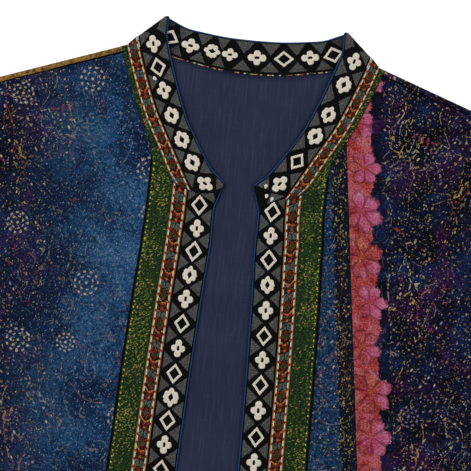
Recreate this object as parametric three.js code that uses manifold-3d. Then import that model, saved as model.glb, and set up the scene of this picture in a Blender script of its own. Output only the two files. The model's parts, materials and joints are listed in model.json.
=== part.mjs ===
// An open-front jacket with a band collar, laid flat on its back, in millimetres.
// "Across" runs outwards from the middle of the jacket, "down" runs from the top of the collar to the hem.
import * as THREE from "three";
import { mergeVertices } from "three/addons/utils/BufferGeometryUtils.js";
import Module from "manifold-3d";

const wasm = await Module();
wasm.setup();

// Cloth
const bodyCloth = 1.4;
const liningCloth = 1.0;
const liningInset = 34; // the lining stops short of the side seams
const hemTurn = 16; // and of the hem
const ribbonCloth = 1.0;
const collarCloth = 1.4;
const collarFacingCloth = 1.2;
const seamGap = 0.3;

// Body
const jacketLength = 690; // from the top of the collar to the hem
const hemHalfWidth = 290;
const underarm = { across: 272, down: 288 };
const shoulderTip = { across: 240, down: 77.3 };
const shoulderStart = { across: 107, down: 26.7 }; // where the shoulder fold leaves the neck
const shoulderSlope = 0.355; // drop for each millimetre outwards
const shoulderReturn = 5; // the back's cloth comes over the fold by this much
const neckLift = 1.9; // how far the fronts stand off the lining at the shoulders
const lean = 0.0195; // the laid jacket leans this much sideways for each millimetre down

// Sleeves
const sleeveAngle = THREE.MathUtils.degToRad(45);
const underarmSeam = 395;
const cuffWidth = 125;
const sleeveHeadBulge = 15; // the top edge rounds outwards over the shoulder by this much

// Bands on the fronts, measured from the front edge
const pipingRadius = 0.8;
const wideRibbon = 26.8;
const narrowRibbon = 13.3;
const greenBand = 22.4;
const neckRibbon = 11;
const neckStrip = 4.8;
const bandMargin = 0.8; // the neck bands' top ends stop this far inside the shoulder fold
const mitreReturn = 3; // the neck ribbon's point ends this far short of the green band
const mitreSlope = -0.43; // the bands' top ends rise this much for each millimetre outwards

// The soft swell of the front panels between their seams, and what it keeps clear of
const frontSwell = 1.9;
const swellWaves = { across: 23, slant: 61, down: 90 };
const swellFrom = { bands: 95, side: 4, shoulder: 30 };
const swellEase = { bands: 50, side: 50, shoulder: 60 };
const sideSlope = 22; // the fronts come down to the side seam over this width
const liftReach = 200; // the lift at the shoulders fades out over this length

// The hollow of a sleeve between its two folded edges
const sleeveHollow = 0.8;
const sleeveSwell = 0.9;
const sleeveWaves = { along: 9, across: 4 };
const underarmRadius = 0.95;
const cuffRadius = { under: 1.3, top: 1.7 };

const table = (columns, rows) =>
  rows.map((row) =>
    Object.fromEntries(columns.map((name, k) => [name, row[k]])),
  );

// The front half of the collar, from the fold at the shoulder to its front end
const collarFront = table(
  ["seamAcross", "seamDown", "topAcross", "topDown"],
  [
    [105.2, 20.8, 82.0, 0.0],
    [99.5, 39.0, 76.8, 30.0],
    [93.0, 56.5, 71.3, 47.0],
    [86.5, 73.0, 65.6, 63.4],
    [79.0, 89.5, 59.4, 79.0],
    [71.0, 104.0, 53.4, 92.5],
    [62.5, 119.0, 44.8, 107.0],
    [52.5, 137.0, 34.0, 124.0],
    [42.0, 153.7, 24.0, 137.2],
    [31.8, 159.4, 17.8, 142.4],
    [21.3, 165.0, 13.4, 146.3],
  ],
);

// The back half of the collar, from the fold to the centre back
const collarBack = table(
  ["seamAcross", "seamDown", "topAcross", "topDown"],
  [
    [90.0, 28.5, 74.0, 5.4],
    [73.0, 35.0, 63.0, 10.0],
    [52.0, 39.2, 46.0, 12.9],
    [27.0, 43.2, 24.0, 15.3],
    [0.0, 44.5, 0.0, 16.0],
  ],
);

// The front edge, from the neck to the hem
const frontEdge = table(
  ["across", "down"],
  [
    [21.3, 165],
    [19.9, 186],
    [22.4, 250],
    [25.2, 322],
    [27.6, 405],
    [31.4, 510],
    [34.8, 600],
    [38.0, jacketLength],
  ],
);

// The armhole, from the underarm to the shoulder
const armhole = table(
  ["across", "down"],
  [
    [underarm.across, underarm.down],
    [252.0, 262.0],
    [240.5, 225.0],
    [236.5, 160.0],
    [238.0, 110.0],
    [shoulderTip.across, shoulderTip.down],
  ],
);

// The side seam, from the hem to the underarm
const sideSeam = table(
  ["across", "down"],
  [
    [hemHalfWidth, jacketLength],
    [287, 590],
    [283, 490],
    [278, 390],
    [underarm.across, underarm.down],
  ],
);

const smooth = (t) => THREE.MathUtils.smoothstep(t, 0, 1);
const curveOf = (points) =>
  new THREE.SplineCurve(points.map((p) => new THREE.Vector2(p.across, p.down)));
const spread = (curve, steps) =>
  curve.getPoints(steps).map((p) => ({ across: p.x, down: p.y }));
const between = (a, b, t) => ({
  across: a.across + (b.across - a.across) * t,
  down: a.down + (b.down - a.down) * t,
});

const sleeveAxis = {
  across: Math.cos(sleeveAngle),
  down: Math.sin(sleeveAngle),
};
const cuffUnder = {
  across: underarm.across + underarmSeam * sleeveAxis.across,
  down: underarm.down + underarmSeam * sleeveAxis.down,
};
const cuffTop = {
  across: cuffUnder.across + cuffWidth * sleeveAxis.down,
  down: cuffUnder.down - cuffWidth * sleeveAxis.across,
};

// A point of the laid jacket in the part's own frame; side is 1 on the wearer's left, -1 on the right.
function place(side, point, height) {
  return new THREE.Vector3(
    side * point.across - lean * (point.down - cuffTop.down),
    jacketLength / 2 - point.down,
    height,
  );
}

// The middle heights of the layers
const backMiddle = bodyCloth / 2;
const liningMiddle = bodyCloth + seamGap + liningCloth / 2;
const frontRest =
  bodyCloth + seamGap + liningCloth + seamGap + bodyCloth / 2;
const sideRest = bodyCloth + seamGap + bodyCloth / 2;
const collarBackOuter = collarCloth / 2;
const collarBackInner = collarCloth + seamGap + collarFacingCloth / 2;
const collarFrontOuter = frontRest + bodyCloth / 2 + seamGap + ribbonCloth / 2;
const collarFrontInner =
  collarFrontOuter - collarCloth / 2 - seamGap - collarFacingCloth / 2;

const shoulderDown = (across) =>
  shoulderStart.down +
  shoulderSlope * Math.max(0, across - shoulderStart.across);
const lift = (p) =>
  neckLift * (1 - smooth((p.down - shoulderDown(p.across)) / liftReach));

const sideCurve = curveOf(sideSeam);
const armholeCurve = curveOf(armhole);

// How far a point lies in from the side seam or the armhole, near enough for a soft slope
function fromSide(p) {
  const rows = [...sideSeam, ...armhole.slice(1)];
  const k = Math.max(
    1,
    rows.findIndex((row) => row.down <= p.down),
  );
  const [low, high] = [rows[k - 1], rows[k]];
  const t = (p.down - low.down) / (high.down - low.down);
  return low.across + (high.across - low.across) * t - p.across;
}

// The front's middle surface: it rests on the lining, sinks to the side seam and swells softly in between.
const frontMiddle = (p) => {
  const beside = 1 - smooth(fromSide(p) / sideSlope);
  const belowArm = smooth((p.down - underarm.down) / swellEase.shoulder + 1);
  const below = p.down - shoulderDown(p.across);
  const swell =
    smooth((p.across - swellFrom.bands) / swellEase.bands) *
    smooth((fromSide(p) - swellFrom.side) / swellEase.side) *
    smooth((below - swellFrom.shoulder) / swellEase.shoulder);
  const wave =
    Math.sin(p.across / swellWaves.across + p.down / swellWaves.slant) *
    Math.cos(p.down / swellWaves.down);
  return (
    frontRest +
    lift(p) -
    (frontRest - sideRest) * beside * belowArm +
    (frontSwell * swell * (1 + wave)) / 2
  );
};

// A closed wall around rows of middle points. Across is closed too when the rows are rings.
function wall(rows, thickness, ring = false) {
  const last = rows.length - 1;
  const width = rows[0].length;
  const at = (i, j) =>
    rows[THREE.MathUtils.clamp(i, 0, last)][
      ring ? (j + width) % width : THREE.MathUtils.clamp(j, 0, width - 1)
    ];
  const positions = [];
  for (const sign of [1, -1])
    for (let i = 0; i <= last; i++)
      for (let j = 0; j < width; j++) {
        const normal = at(i + 1, j)
          .clone()
          .sub(at(i - 1, j))
          .cross(at(i, j + 1).clone().sub(at(i, j - 1)))
          .normalize();
        const moved = at(i, j)
          .clone()
          .addScaledVector(normal, (sign * thickness) / 2);
        positions.push(moved.x, moved.y, moved.z);
      }
  const index = [];
  const under = rows.length * width;
  const quad = (a, b, c, d) => index.push(a, b, c, a, c, d);
  const columns = ring ? width : width - 1;
  for (let i = 0; i < last; i++)
    for (let j = 0; j < columns; j++) {
      const a = i * width + j;
      const b = i * width + ((j + 1) % width);
      quad(a, a + width, b + width, b);
      quad(under + a, under + b, under + b + width, under + a + width);
    }
  for (let j = 0; j < columns; j++) {
    const next = (j + 1) % width;
    quad(j, next, under + next, under + j);
    const end = last * width;
    quad(end + next, end + j, under + end + j, under + end + next);
  }
  if (!ring)
    for (let i = 0; i < last; i++) {
      const a = i * width;
      quad(a + width, a, under + a, under + a + width);
      const b = a + width - 1;
      quad(b, b + width, under + b + width, under + b);
    }
  return facingOut(positions, index);
}

// Turns the faces round if they enclose a negative volume.
function facingOut(positions, index) {
  const corner = (k) => new THREE.Vector3().fromArray(positions, 3 * index[k]);
  let volume = 0;
  for (let k = 0; k < index.length; k += 3)
    volume += corner(k).dot(corner(k + 1).cross(corner(k + 2)));
  if (volume < 0)
    for (let k = 0; k < index.length; k += 3)
      [index[k + 1], index[k + 2]] = [index[k + 2], index[k + 1]];
  return new THREE.BufferGeometry()
    .setAttribute("position", new THREE.Float32BufferAttribute(positions, 3))
    .setIndex(index);
}

// Joins closed geometries into one.
function join(geometries) {
  const solids = geometries.map((geometry) => {
    const merged = mergeVertices(geometry, 1e-3);
    return new wasm.Manifold(
      new wasm.Mesh({
        numProp: 3,
        vertProperties: merged.attributes.position.array,
        triVerts: new Uint32Array(merged.index.array),
      }),
    );
  });
  const mesh = solids.reduce((a, b) => a.add(b)).getMesh();
  return new THREE.BufferGeometry()
    .setAttribute(
      "position",
      new THREE.BufferAttribute(mesh.vertProperties, mesh.numProp),
    )
    .setIndex(new THREE.BufferAttribute(mesh.triVerts, 1));
}

// A strip between two edges, cut into columns, at a height worked out for each point.
function strip(side, rows, columns, height, thickness) {
  return wall(
    rows.map(({ inner, outer }) =>
      Array.from({ length: columns + 1 }, (_, j) => {
        const p = between(inner, outer, j / columns);
        return place(side, p, height(p));
      }),
    ),
    thickness,
  );
}

// The points of a line moved outwards, square to it.
function movedOut(points, distance) {
  return points.map((p, k) => {
    const a = points[Math.max(0, k - 1)];
    const b = points[Math.min(points.length - 1, k + 1)];
    const [dx, dy] = [b.across - a.across, b.down - a.down];
    const length = Math.hypot(dx, dy);
    return {
      across: p.across + (dy / length) * distance,
      down: p.down - (dx / length) * distance,
    };
  });
}

const materials = {
  print: new THREE.MeshStandardMaterial({ color: 0x23304f, roughness: 0.9 }),
  printWarm: new THREE.MeshStandardMaterial({ color: 0x5a2745, roughness: 0.9 }),
  lining: new THREE.MeshStandardMaterial({ color: 0x2b3350, roughness: 0.8 }),
  wide: new THREE.MeshStandardMaterial({ color: 0x4a4947, roughness: 0.85 }),
  narrow: new THREE.MeshStandardMaterial({ color: 0x9a4a2c, roughness: 0.85 }),
  green: new THREE.MeshStandardMaterial({ color: 0x2c4a1c, roughness: 0.9 }),
  piping: new THREE.MeshStandardMaterial({ color: 0x1f4378, roughness: 0.6 }),
};

const jacket = new THREE.Group();
function add(name, geometry, material) {
  const mesh = new THREE.Mesh(geometry, material);
  mesh.name = name;
  jacket.add(mesh);
}

// The collar is one band of two layers, folded over at each shoulder.
const foldLine = {
  seam: { across: collarFront[0].seamAcross, down: collarFront[0].seamDown },
  top: { across: collarFront[0].topAcross, down: collarFront[0].topDown },
};
const foldSteps = 6; // facets round the fold

// The rows of one collar layer, from the wearer's left end to the right end, as pairs of points.
function collarRows(backHeight, frontHeight) {
  const radius = (frontHeight + neckLift - backHeight) / 2;
  const outermost = (collarFrontOuter + neckLift - collarBackOuter) / 2;
  const inset = outermost + collarCloth / 2;
  const { seam, top } = foldLine;
  const length = Math.hypot(seam.across - top.across, seam.down - top.down);
  const out = {
    across: (seam.down - top.down) / length,
    down: -(seam.across - top.across) / length,
  };
  const half = (side) => {
    const rows = collarFront.slice(1).map((row) => {
      const [s, t] = [
        { across: row.seamAcross, down: row.seamDown },
        { across: row.topAcross, down: row.topDown },
      ];
      return [
        place(side, s, frontHeight + lift(s)),
        place(side, t, frontHeight + lift(t)),
      ];
    });
    rows.reverse();
    for (let k = 0; k <= foldSteps; k++) {
      const turn = (Math.PI * k) / foldSteps;
      const reach = radius * Math.sin(turn) - inset;
      const height = backHeight + radius * (1 + Math.cos(turn));
      rows.push(
        [seam, top].map((p) =>
          place(
            side,
            {
              across: p.across + out.across * reach,
              down: p.down + out.down * reach,
            },
            height,
          ),
        ),
      );
    }
    for (const row of collarBack)
      rows.push([
        place(side, { across: row.seamAcross, down: row.seamDown }, backHeight),
        place(side, { across: row.topAcross, down: row.topDown }, backHeight),
      ]);
    return rows;
  };
  return [...half(1), ...half(-1).reverse().slice(1)];
}

const collarColumns = 2;
const acrossRow = ([seam, top]) =>
  Array.from({ length: collarColumns + 1 }, (_, j) =>
    seam.clone().lerp(top, j / collarColumns),
  );
const outerRows = collarRows(collarBackOuter, collarFrontOuter);
const innerRows = collarRows(collarBackInner, collarFrontInner);

// The body's edges, row by row from the hem to the shoulder
const sideRowCount = 10;
const armRowCount = 8;
const outerEdge = [
  ...spread(sideCurve, sideRowCount),
  ...spread(armholeCurve, armRowCount).slice(1),
];

// The back's top edge, from the centre back round the neck to the shoulder tip
const foldRadius = (frontRest + neckLift - backMiddle) / 2;
const shoulderAngle = Math.atan(shoulderSlope);
const foldInset = (foldRadius + bodyCloth / 2) / Math.cos(shoulderAngle);
const backTop = table(
  ["across", "down"],
  [
    [0.0, collarBack[4].seamDown],
    [27.0, collarBack[3].seamDown],
    [52.0, collarBack[2].seamDown],
    [73.0, collarBack[1].seamDown],
    [90.0, collarBack[0].seamDown],
    [shoulderStart.across, shoulderStart.down + foldInset],
    [150.0, shoulderDown(150) + foldInset],
    [195.0, shoulderDown(195) + foldInset],
    [shoulderTip.across, shoulderTip.down],
  ],
);

// Rows across the back: each column runs straight up, and the outer ones follow the side and the armhole.
function backGrid(insetTop, insetSide, insetHem, height) {
  const widest = backTop[backTop.length - 1].across;
  const steps = outerEdge.length - 1;
  return outerEdge.map((edge, i) => {
    const t = i / steps;
    const half = backTop.map((top) => {
      const share = top.across / widest;
      const low = {
        across: hemHalfWidth * share,
        down: jacketLength - insetHem,
      };
      const high = { across: top.across, down: top.down + insetTop };
      const straight = between(
        { across: hemHalfWidth, down: jacketLength },
        shoulderTip,
        t,
      );
      const pull = share ** 3;
      const p = between(low, high, t);
      return {
        across:
          p.across +
          (edge.across - straight.across) * pull -
          insetSide * pull * (1 - t ** 4),
        down: p.down + (edge.down - straight.down) * pull,
      };
    });
    return [
      ...half.slice(1).reverse().map((p) => place(-1, p, height)),
      ...half.map((p) => place(1, p, height)),
    ];
  });
}

// The back's cloth rolled over the shoulder fold, down to the shoulder seam
function shoulderRoll(side) {
  const along = 7;
  const inside = 8; // how far the roll runs in under the flat of the back
  const rollEnd = 1.3; // it stops this far short of the sleeve
  const out = {
    across: Math.sin(shoulderAngle),
    down: -Math.cos(shoulderAngle),
  };
  const rows = Array.from({ length: along + 1 }, (_, i) => {
    const across = THREE.MathUtils.lerp(
      shoulderStart.across,
      shoulderTip.across - rollEnd,
      i / along,
    );
    const base = { across, down: shoulderDown(across) + foldInset };
    const at = (reach, height) =>
      place(
        side,
        {
          across: base.across + out.across * reach,
          down: base.down + out.down * reach,
        },
        height,
      );
    const profile = [at(-inside, backMiddle)];
    for (let k = 0; k <= foldSteps; k++) {
      const turn = (Math.PI * k) / foldSteps;
      profile.push(
        at(
          foldRadius * Math.sin(turn),
          backMiddle + foldRadius * (1 - Math.cos(turn)),
        ),
      );
    }
    profile.push(
      at(
        foldRadius + bodyCloth / 2 - shoulderReturn,
        backMiddle + 2 * foldRadius,
      ),
    );
    return profile;
  });
  return wall(rows, bodyCloth);
}

add(
  "back_panel",
  join([
    wall(backGrid(seamGap, 0, 0, backMiddle), bodyCloth),
    shoulderRoll(1),
    shoulderRoll(-1),
  ]),
  materials.print,
);
add(
  "back_lining",
  wall(backGrid(seamGap, liningInset, hemTurn, liningMiddle), liningCloth),
  materials.lining,
);

// The fronts run from the front edge and the neck seam to the side seam and the armhole.
const neckSeam = collarFront
  .slice(1)
  .map((row) => ({ across: row.seamAcross, down: row.seamDown }));
const neckSeamTop = {
  across: 102.4, // on the seam, level with the shoulder seam
  down: shoulderStart.down + shoulderReturn + seamGap,
};
const frontTopOuter = {
  across: shoulderTip.across - seamGap / 2,
  down:
    shoulderDown(shoulderTip.across) +
    (shoulderReturn + seamGap) / Math.cos(shoulderAngle),
};
const innerEdge = [
  ...spread(curveOf([...frontEdge].reverse()), 8).slice(0, -1),
  ...movedOut([neckSeamTop, ...neckSeam], seamGap).reverse(),
];
const frontColumns = 11;

function front(side) {
  const outers = [...outerEdge.slice(0, -1), frontTopOuter];
  const rows = innerEdge.map((inner, i) => ({ inner, outer: outers[i] }));
  return strip(side, rows, frontColumns, frontMiddle, bodyCloth);
}

// The bands lie on the fronts, moved out by their own thickness.
const bandMiddle = (p) =>
  frontMiddle(p) + bodyCloth / 2 + seamGap + ribbonCloth / 2;
const edgeRows = spread(curveOf(frontEdge), 14);
const mitreDown = (across) =>
  frontEdge[0].down + mitreSlope * (across - frontEdge[0].across);

// Rows of a straight band between two distances from the front edge; its top end is mitred.
function bandRows(from, to) {
  return edgeRows.map((edge, i) => {
    const [inner, outer] = [from, to].map((distance) => {
      const across = edge.across + distance;
      return { across, down: i === 0 ? mitreDown(across) + seamGap : edge.down };
    });
    return { inner, outer };
  });
}

const neckBandRows = 8; // the rows of the neck seam that the neck ribbon follows
const neckLine = [foldLine.seam, ...neckSeam.slice(0, neckBandRows)];
const mitreEnd = (across) => ({ across, down: mitreDown(across) - seamGap });

// The neck line moved outwards, its first point slid along it until it lies inside the shoulder fold
function besideNeck(distance) {
  const line = movedOut(neckLine, distance);
  const [p, next] = line;
  const above = shoulderDown(p.across) + bandMargin - p.down;
  const gained = next.down - p.down - shoulderSlope * (next.across - p.across);
  return [between(p, next, Math.max(0, above / gained)), ...line.slice(1)];
}

function neckRibbonRows() {
  const inner = movedOut(neckLine, seamGap);
  const outer = besideNeck(neckRibbon);
  const rows = inner.map((p, k) => ({ inner: p, outer: outer[k] }));
  rows[rows.length - 1] = {
    inner: mitreEnd(neckLine[neckLine.length - 1].across + seamGap),
    outer: mitreEnd(
      frontEdge[0].across + wideRibbon + narrowRibbon - mitreReturn,
    ),
  };
  return rows;
}

function greenRows() {
  const from = wideRibbon + narrowRibbon + seamGap;
  const to = wideRibbon + narrowRibbon + greenBand;
  const straight = bandRows(from, to).slice(1).reverse();
  const outerAcross = frontEdge[0].across + to;
  const inner = besideNeck(neckRibbon + seamGap);
  const outer = besideNeck(neckRibbon + neckStrip);
  // The straight band ends where the neck ribbon crosses it, and the strip beside the ribbon goes on.
  const start = { across: frontEdge[0].across + from };
  start.down = mitreDown(start.across) + 2 * seamGap;
  const turn = [
    { inner: start, outer: { across: outerAcross, down: start.down } },
    { inner: inner[7], outer: { across: outerAcross, down: inner[7].down - 6 } },
    { inner: inner[6], outer: { across: outerAcross, down: outer[5].down + 9 } },
  ];
  const strips = inner
    .map((p, k) => ({ inner: p, outer: outer[k] }))
    .slice(0, 6)
    .reverse();
  return [...straight, ...turn, ...strips];
}

// A round cord along points that each know the way out of the edge they follow.
function cord(points, radius, sides) {
  const rings = points.map(({ at, out }, k) => {
    const before = points[Math.max(0, k - 1)].at;
    const after = points[Math.min(points.length - 1, k + 1)].at;
    const up = after.clone().sub(before).cross(out).normalize();
    return Array.from({ length: sides }, (_, j) => {
      const turn = (2 * Math.PI * j) / sides;
      return at
        .clone()
        .addScaledVector(out, radius * Math.cos(turn))
        .addScaledVector(up, radius * Math.sin(turn));
    });
  });
  const positions = [];
  const index = [];
  for (const p of rings.flat()) positions.push(p.x, p.y, p.z);
  for (let i = 0; i < rings.length - 1; i++)
    for (let j = 0; j < sides; j++) {
      const [a, b] = [i * sides + j, i * sides + ((j + 1) % sides)];
      index.push(a, b, b + sides, a, b + sides, a + sides);
    }
  for (let j = 1; j < sides - 1; j++) {
    const end = (rings.length - 1) * sides;
    index.push(0, j + 1, j, end, end + j, end + j + 1);
  }
  return facingOut(positions, index);
}

// The piping follows one front edge, the whole top of the collar and the other front edge.
const pipingSides = 6;
const pipingHeight = frontRest + ribbonCloth / 2;
const pipingReach = pipingRadius + seamGap;
function pipingPoints() {
  const fronts = (side) =>
    edgeRows.slice(1).map((edge) => ({
      at: place(
        side,
        { across: edge.across - pipingReach, down: edge.down },
        pipingHeight + lift(edge),
      ),
      out: new THREE.Vector3(-side, 0, 0),
    }));
  const collarTop = outerRows.map((outer, k) => {
    const inner = innerRows[k];
    const out = outer[1].clone().sub(outer[0]).normalize();
    const at = outer[1]
      .clone()
      .lerp(inner[1], 0.5)
      .addScaledVector(out, pipingReach);
    return { at, out };
  });
  return [...fronts(1).reverse(), ...collarTop, ...fronts(-1)];
}

// A sleeve is a flattened tube: rings run round the top fold, along the upper wall, round the underarm
// seam and back along the under wall.
const sleeveRings = 14;
const sleeveColumns = armRowCount;
const sleeveTurns = 4;
const ringCrowding = 1.15; // the rings stand closer together at the sleeve head
const headEase = 6; // the sleeve takes its own section over a sixth of its length
function sleeve(side) {
  const head = spread(armholeCurve, sleeveColumns);
  const rings = [];
  for (let i = 0; i <= sleeveRings; i++) {
    const t = (i / sleeveRings) ** ringCrowding;
    const rounding = (27 / 4) * t * (1 - t) ** 2; // 1 at its highest, a third of the way down
    const line = movedOut([...head].reverse(), seamGap + 0.1)
      .reverse()
      .map((p, j) => {
        const w = j / sleeveColumns;
        const q = between(p, between(cuffUnder, cuffTop, w), t);
        const bulge = sleeveHeadBulge * rounding * w * w;
        return {
          across: q.across + sleeveAxis.down * bulge,
          down: q.down - sleeveAxis.across * bulge,
        };
      });
    const ends = [line[0], line[sleeveColumns]];
    const outwards = [
      { from: line[1], to: line[0] },
      { from: line[sleeveColumns - 1], to: line[sleeveColumns] },
    ].map(({ from, to }) => {
      const length = Math.hypot(to.across - from.across, to.down - from.down);
      return {
        across: (to.across - from.across) / length,
        down: (to.down - from.down) / length,
      };
    });
    const radii = [
      THREE.MathUtils.lerp(underarmRadius, cuffRadius.under, t),
      THREE.MathUtils.lerp(foldRadius, cuffRadius.top, smooth(t)),
    ];
    const upper = (w) => {
      const flat = THREE.MathUtils.lerp(radii[0], radii[1], w) * 2;
      const atHead =
        frontMiddle(line[Math.round(w * sleeveColumns)]) - backMiddle;
      const wave = Math.sin(sleeveWaves.along * t + sleeveWaves.across * w) ** 2;
      const soft =
        flat + Math.sin(Math.PI * w) * (sleeveHollow + sleeveSwell * wave);
      return THREE.MathUtils.lerp(atHead, soft, smooth(t * headEase));
    };
    const ring = [];
    const turnRound = (end, from, to) => {
      for (let k = 1; k < sleeveTurns; k++) {
        const turn = (Math.PI * k) / sleeveTurns;
        const rise = (to - from) / 2;
        const reach = radii[end] * Math.sin(turn);
        ring.push(
          place(
            side,
            {
              across: ends[end].across + outwards[end].across * reach,
              down: ends[end].down + outwards[end].down * reach,
            },
            backMiddle + from + rise * (1 - Math.cos(turn)),
          ),
        );
      }
    };
    turnRound(1, 0, upper(1));
    for (let j = sleeveColumns; j >= 0; j--)
      ring.push(
        place(side, line[j], backMiddle + upper(j / sleeveColumns)),
      );
    turnRound(0, upper(0), 0);
    for (const p of line) ring.push(place(side, p, backMiddle));
    rings.push(ring);
  }
  return wall(rings, bodyCloth, true);
}

for (const [name, side, print] of [
  ["left", 1, materials.printWarm],
  ["right", -1, materials.print],
]) {
  add("front_" + name, front(side), print);
  add(
    "green_band_" + name,
    strip(side, greenRows(), 1, bandMiddle, ribbonCloth),
    materials.green,
  );
  add(
    "narrow_ribbon_" + name,
    strip(
      side,
      bandRows(wideRibbon + seamGap, wideRibbon + narrowRibbon),
      1,
      bandMiddle,
      ribbonCloth,
    ),
    materials.narrow,
  );
  add(
    "neck_ribbon_" + name,
    strip(side, neckRibbonRows(), 1, bandMiddle, ribbonCloth),
    materials.narrow,
  );
  add(
    "wide_ribbon_" + name,
    strip(side, bandRows(0, wideRibbon), 2, bandMiddle, ribbonCloth),
    materials.wide,
  );
  add("sleeve_" + name, sleeve(side), print);
}
add("collar_outer", wall(outerRows.map(acrossRow), collarCloth), materials.wide);
add(
  "collar_inner",
  wall(innerRows.map(acrossRow), collarFacingCloth),
  materials.wide,
);
add("piping", cord(pipingPoints(), pipingRadius, pipingSides), materials.piping);

export default jacket;
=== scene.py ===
# An open-front jacket laid flat on its back: cloth shells, woven ribbons, printed cloth and stitches.
# Sizes in the tables are millimetres on the laid jacket. Across runs outwards from its middle, down runs
# from the top of the collar to the hem, and side is 1 on the wearer's left and -1 on the right.
import json
import math
import random

import bpy
import numpy as np
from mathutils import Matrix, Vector, noise

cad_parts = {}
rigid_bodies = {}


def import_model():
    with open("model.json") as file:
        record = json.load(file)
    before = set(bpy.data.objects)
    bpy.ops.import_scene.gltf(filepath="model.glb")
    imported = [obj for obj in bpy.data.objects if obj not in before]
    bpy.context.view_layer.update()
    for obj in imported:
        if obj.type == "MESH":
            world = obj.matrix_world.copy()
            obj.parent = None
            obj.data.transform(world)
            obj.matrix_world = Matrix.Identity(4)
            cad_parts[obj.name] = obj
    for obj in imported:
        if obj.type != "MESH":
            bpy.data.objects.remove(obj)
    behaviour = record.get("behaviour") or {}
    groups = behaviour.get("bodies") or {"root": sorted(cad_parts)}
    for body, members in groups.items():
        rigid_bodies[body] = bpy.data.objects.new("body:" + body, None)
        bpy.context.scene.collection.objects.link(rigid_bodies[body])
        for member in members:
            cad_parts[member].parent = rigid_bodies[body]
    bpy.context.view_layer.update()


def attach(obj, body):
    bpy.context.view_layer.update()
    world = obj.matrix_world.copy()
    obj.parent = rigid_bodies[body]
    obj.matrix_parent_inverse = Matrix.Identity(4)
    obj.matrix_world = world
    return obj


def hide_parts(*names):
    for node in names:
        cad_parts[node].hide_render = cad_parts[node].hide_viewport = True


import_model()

mm = 0.001
hands = {1: "left", -1: "right"}

jacket = {
    "length": 690,
    "lean": 0.0195,  # the laid jacket leans this much sideways for each millimetre down
    "leanFrom": 478.9,
    "underarm": (272, 288),
    "shoulderTip": (240, 77.3),
    "shoulderStart": (107, 26.7),
    "shoulderSlope": 0.355,
    "shoulderReturn": 5,
    "hemHalfWidth": 290,
    "liningInset": 34,
    "hemTurn": 16,
}
cloth = {"body": 1.4, "lining": 1.0, "ribbon": 1.0, "collar": 1.4, "facing": 1.2, "gap": 0.3}
bands = {
    "wide": 26.8, "narrow": 13.3, "green": 22.4, "collar": 27,
    "neck": 11, "neckStrip": 4.8, "mitreSlope": -0.43,
}
runs = {"back": 600, "front": 230, "bands": 520}  # rough lengths, which set how finely a piece is divided
edgeShift = {1: 1.9, -1: 1.0}  # the front edge lies this much further out than the plain solid's
topIn = {1: 4.0, -1: 2.6}  # just below the collar the bands lie this much closer to the front edge

# the front half of the collar from the fold to its front end: seam across, seam down, top across, top down
collarFront = [
    (105.2, 20.8, 82.0, 0.0), (102.4, 29.6, 80.2, 15.0), (99.5, 39.0, 76.8, 30.0), (93.0, 56.5, 71.3, 47.0),
    (86.5, 73.0, 65.6, 63.4), (79.0, 89.5, 59.4, 79.0), (71.0, 104.0, 53.4, 92.5),
    (62.5, 119.0, 44.8, 107.0), (52.5, 137.0, 34.0, 124.0), (42.0, 153.7, 24.0, 137.2),
    (31.8, 159.4, 17.8, 142.4), (21.3, 165.0, 13.4, 146.3),
]
collarBack = [
    (90.0, 28.5, 74.0, 5.4), (73.0, 35.0, 63.0, 10.0), (52.0, 39.2, 46.0, 12.9),
    (27.0, 43.2, 24.0, 15.3), (0.0, 44.5, 0.0, 16.0),
]
frontEdge = [
    (21.3, 165), (19.9, 186), (22.4, 250), (25.2, 322), (27.6, 405), (31.4, 510), (34.8, 600), (38, 690),
]
armhole = [(272, 288), (252, 262), (240.5, 225), (236.5, 160), (238, 110), (240, 77.3)]
sideSeam = [(290, 690), (287, 590), (283, 490), (278, 390), (272, 288)]

# soft ridges of the laid cloth: side (0 is both), from, to, half width, height, bend
frontFolds = [
    (1, (236, 150), (150, 330), 11, 1.5, 9), (1, (262, 300), (190, 470), 13, 2.0, -12),
    (1, (160, 420), (120, 640), 12, 1.4, 10), (1, (232, 520), (250, 680), 15, 2.0, -6),
    (1, (190, 120), (120, 190), 9, 0.9, 5), (1, (128, 250), (118, 420), 9, 0.7, -5),
    (-1, (238, 170), (140, 360), 12, 1.6, -10), (-1, (264, 310), (200, 520), 14, 2.1, 11),
    (-1, (140, 440), (150, 660), 13, 1.5, -9), (-1, (236, 560), (228, 684), 13, 1.8, 6),
    (-1, (170, 110), (128, 200), 10, 0.9, -6), (-1, (108, 300), (112, 430), 8, 0.6, 4),
]
sleeveFolds = [
    (1, (300, 250), (420, 300), 9, 2.6, 8), (1, (330, 330), (410, 330), 8, 2.2, -7),
    (1, (400, 400), (500, 370), 10, 2.8, 9), (1, (470, 470), (560, 420), 9, 2.2, -8),
    (1, (270, 200), (330, 190), 9, 2.0, 6), (1, (520, 520), (600, 470), 8, 1.6, 5),
    (-1, (290, 230), (400, 310), 10, 2.4, -8), (-1, (350, 350), (440, 320), 8, 2.6, 8),
    (-1, (420, 430), (520, 390), 10, 2.4, -9), (-1, (480, 490), (590, 450), 9, 2.0, 7),
    (-1, (262, 180), (330, 215), 8, 1.9, -6), (-1, (530, 530), (610, 500), 8, 1.5, -5),
]
liningFolds = [
    (0, (-6, 60), (-4, 330), 5, 0.5, 4), (0, (14, 90), (9, 420), 6, 0.4, -5),
    (0, (-32, 55), (-20, 150), 7, 0.6, 3), (0, (38, 60), (22, 150), 6, 0.6, -4),
]


def smooth(t):
    t = min(max(t, 0.0), 1.0)
    return t * t * (3 - 2 * t)


def between(a, b, t):
    return tuple(p + (q - p) * t for p, q in zip(a, b))


def place(side, across, down, height):
    x = side * across - jacket["lean"] * (down - jacket["leanFrom"])
    return Vector((x, jacket["length"] / 2 - down, height)) * mm


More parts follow.
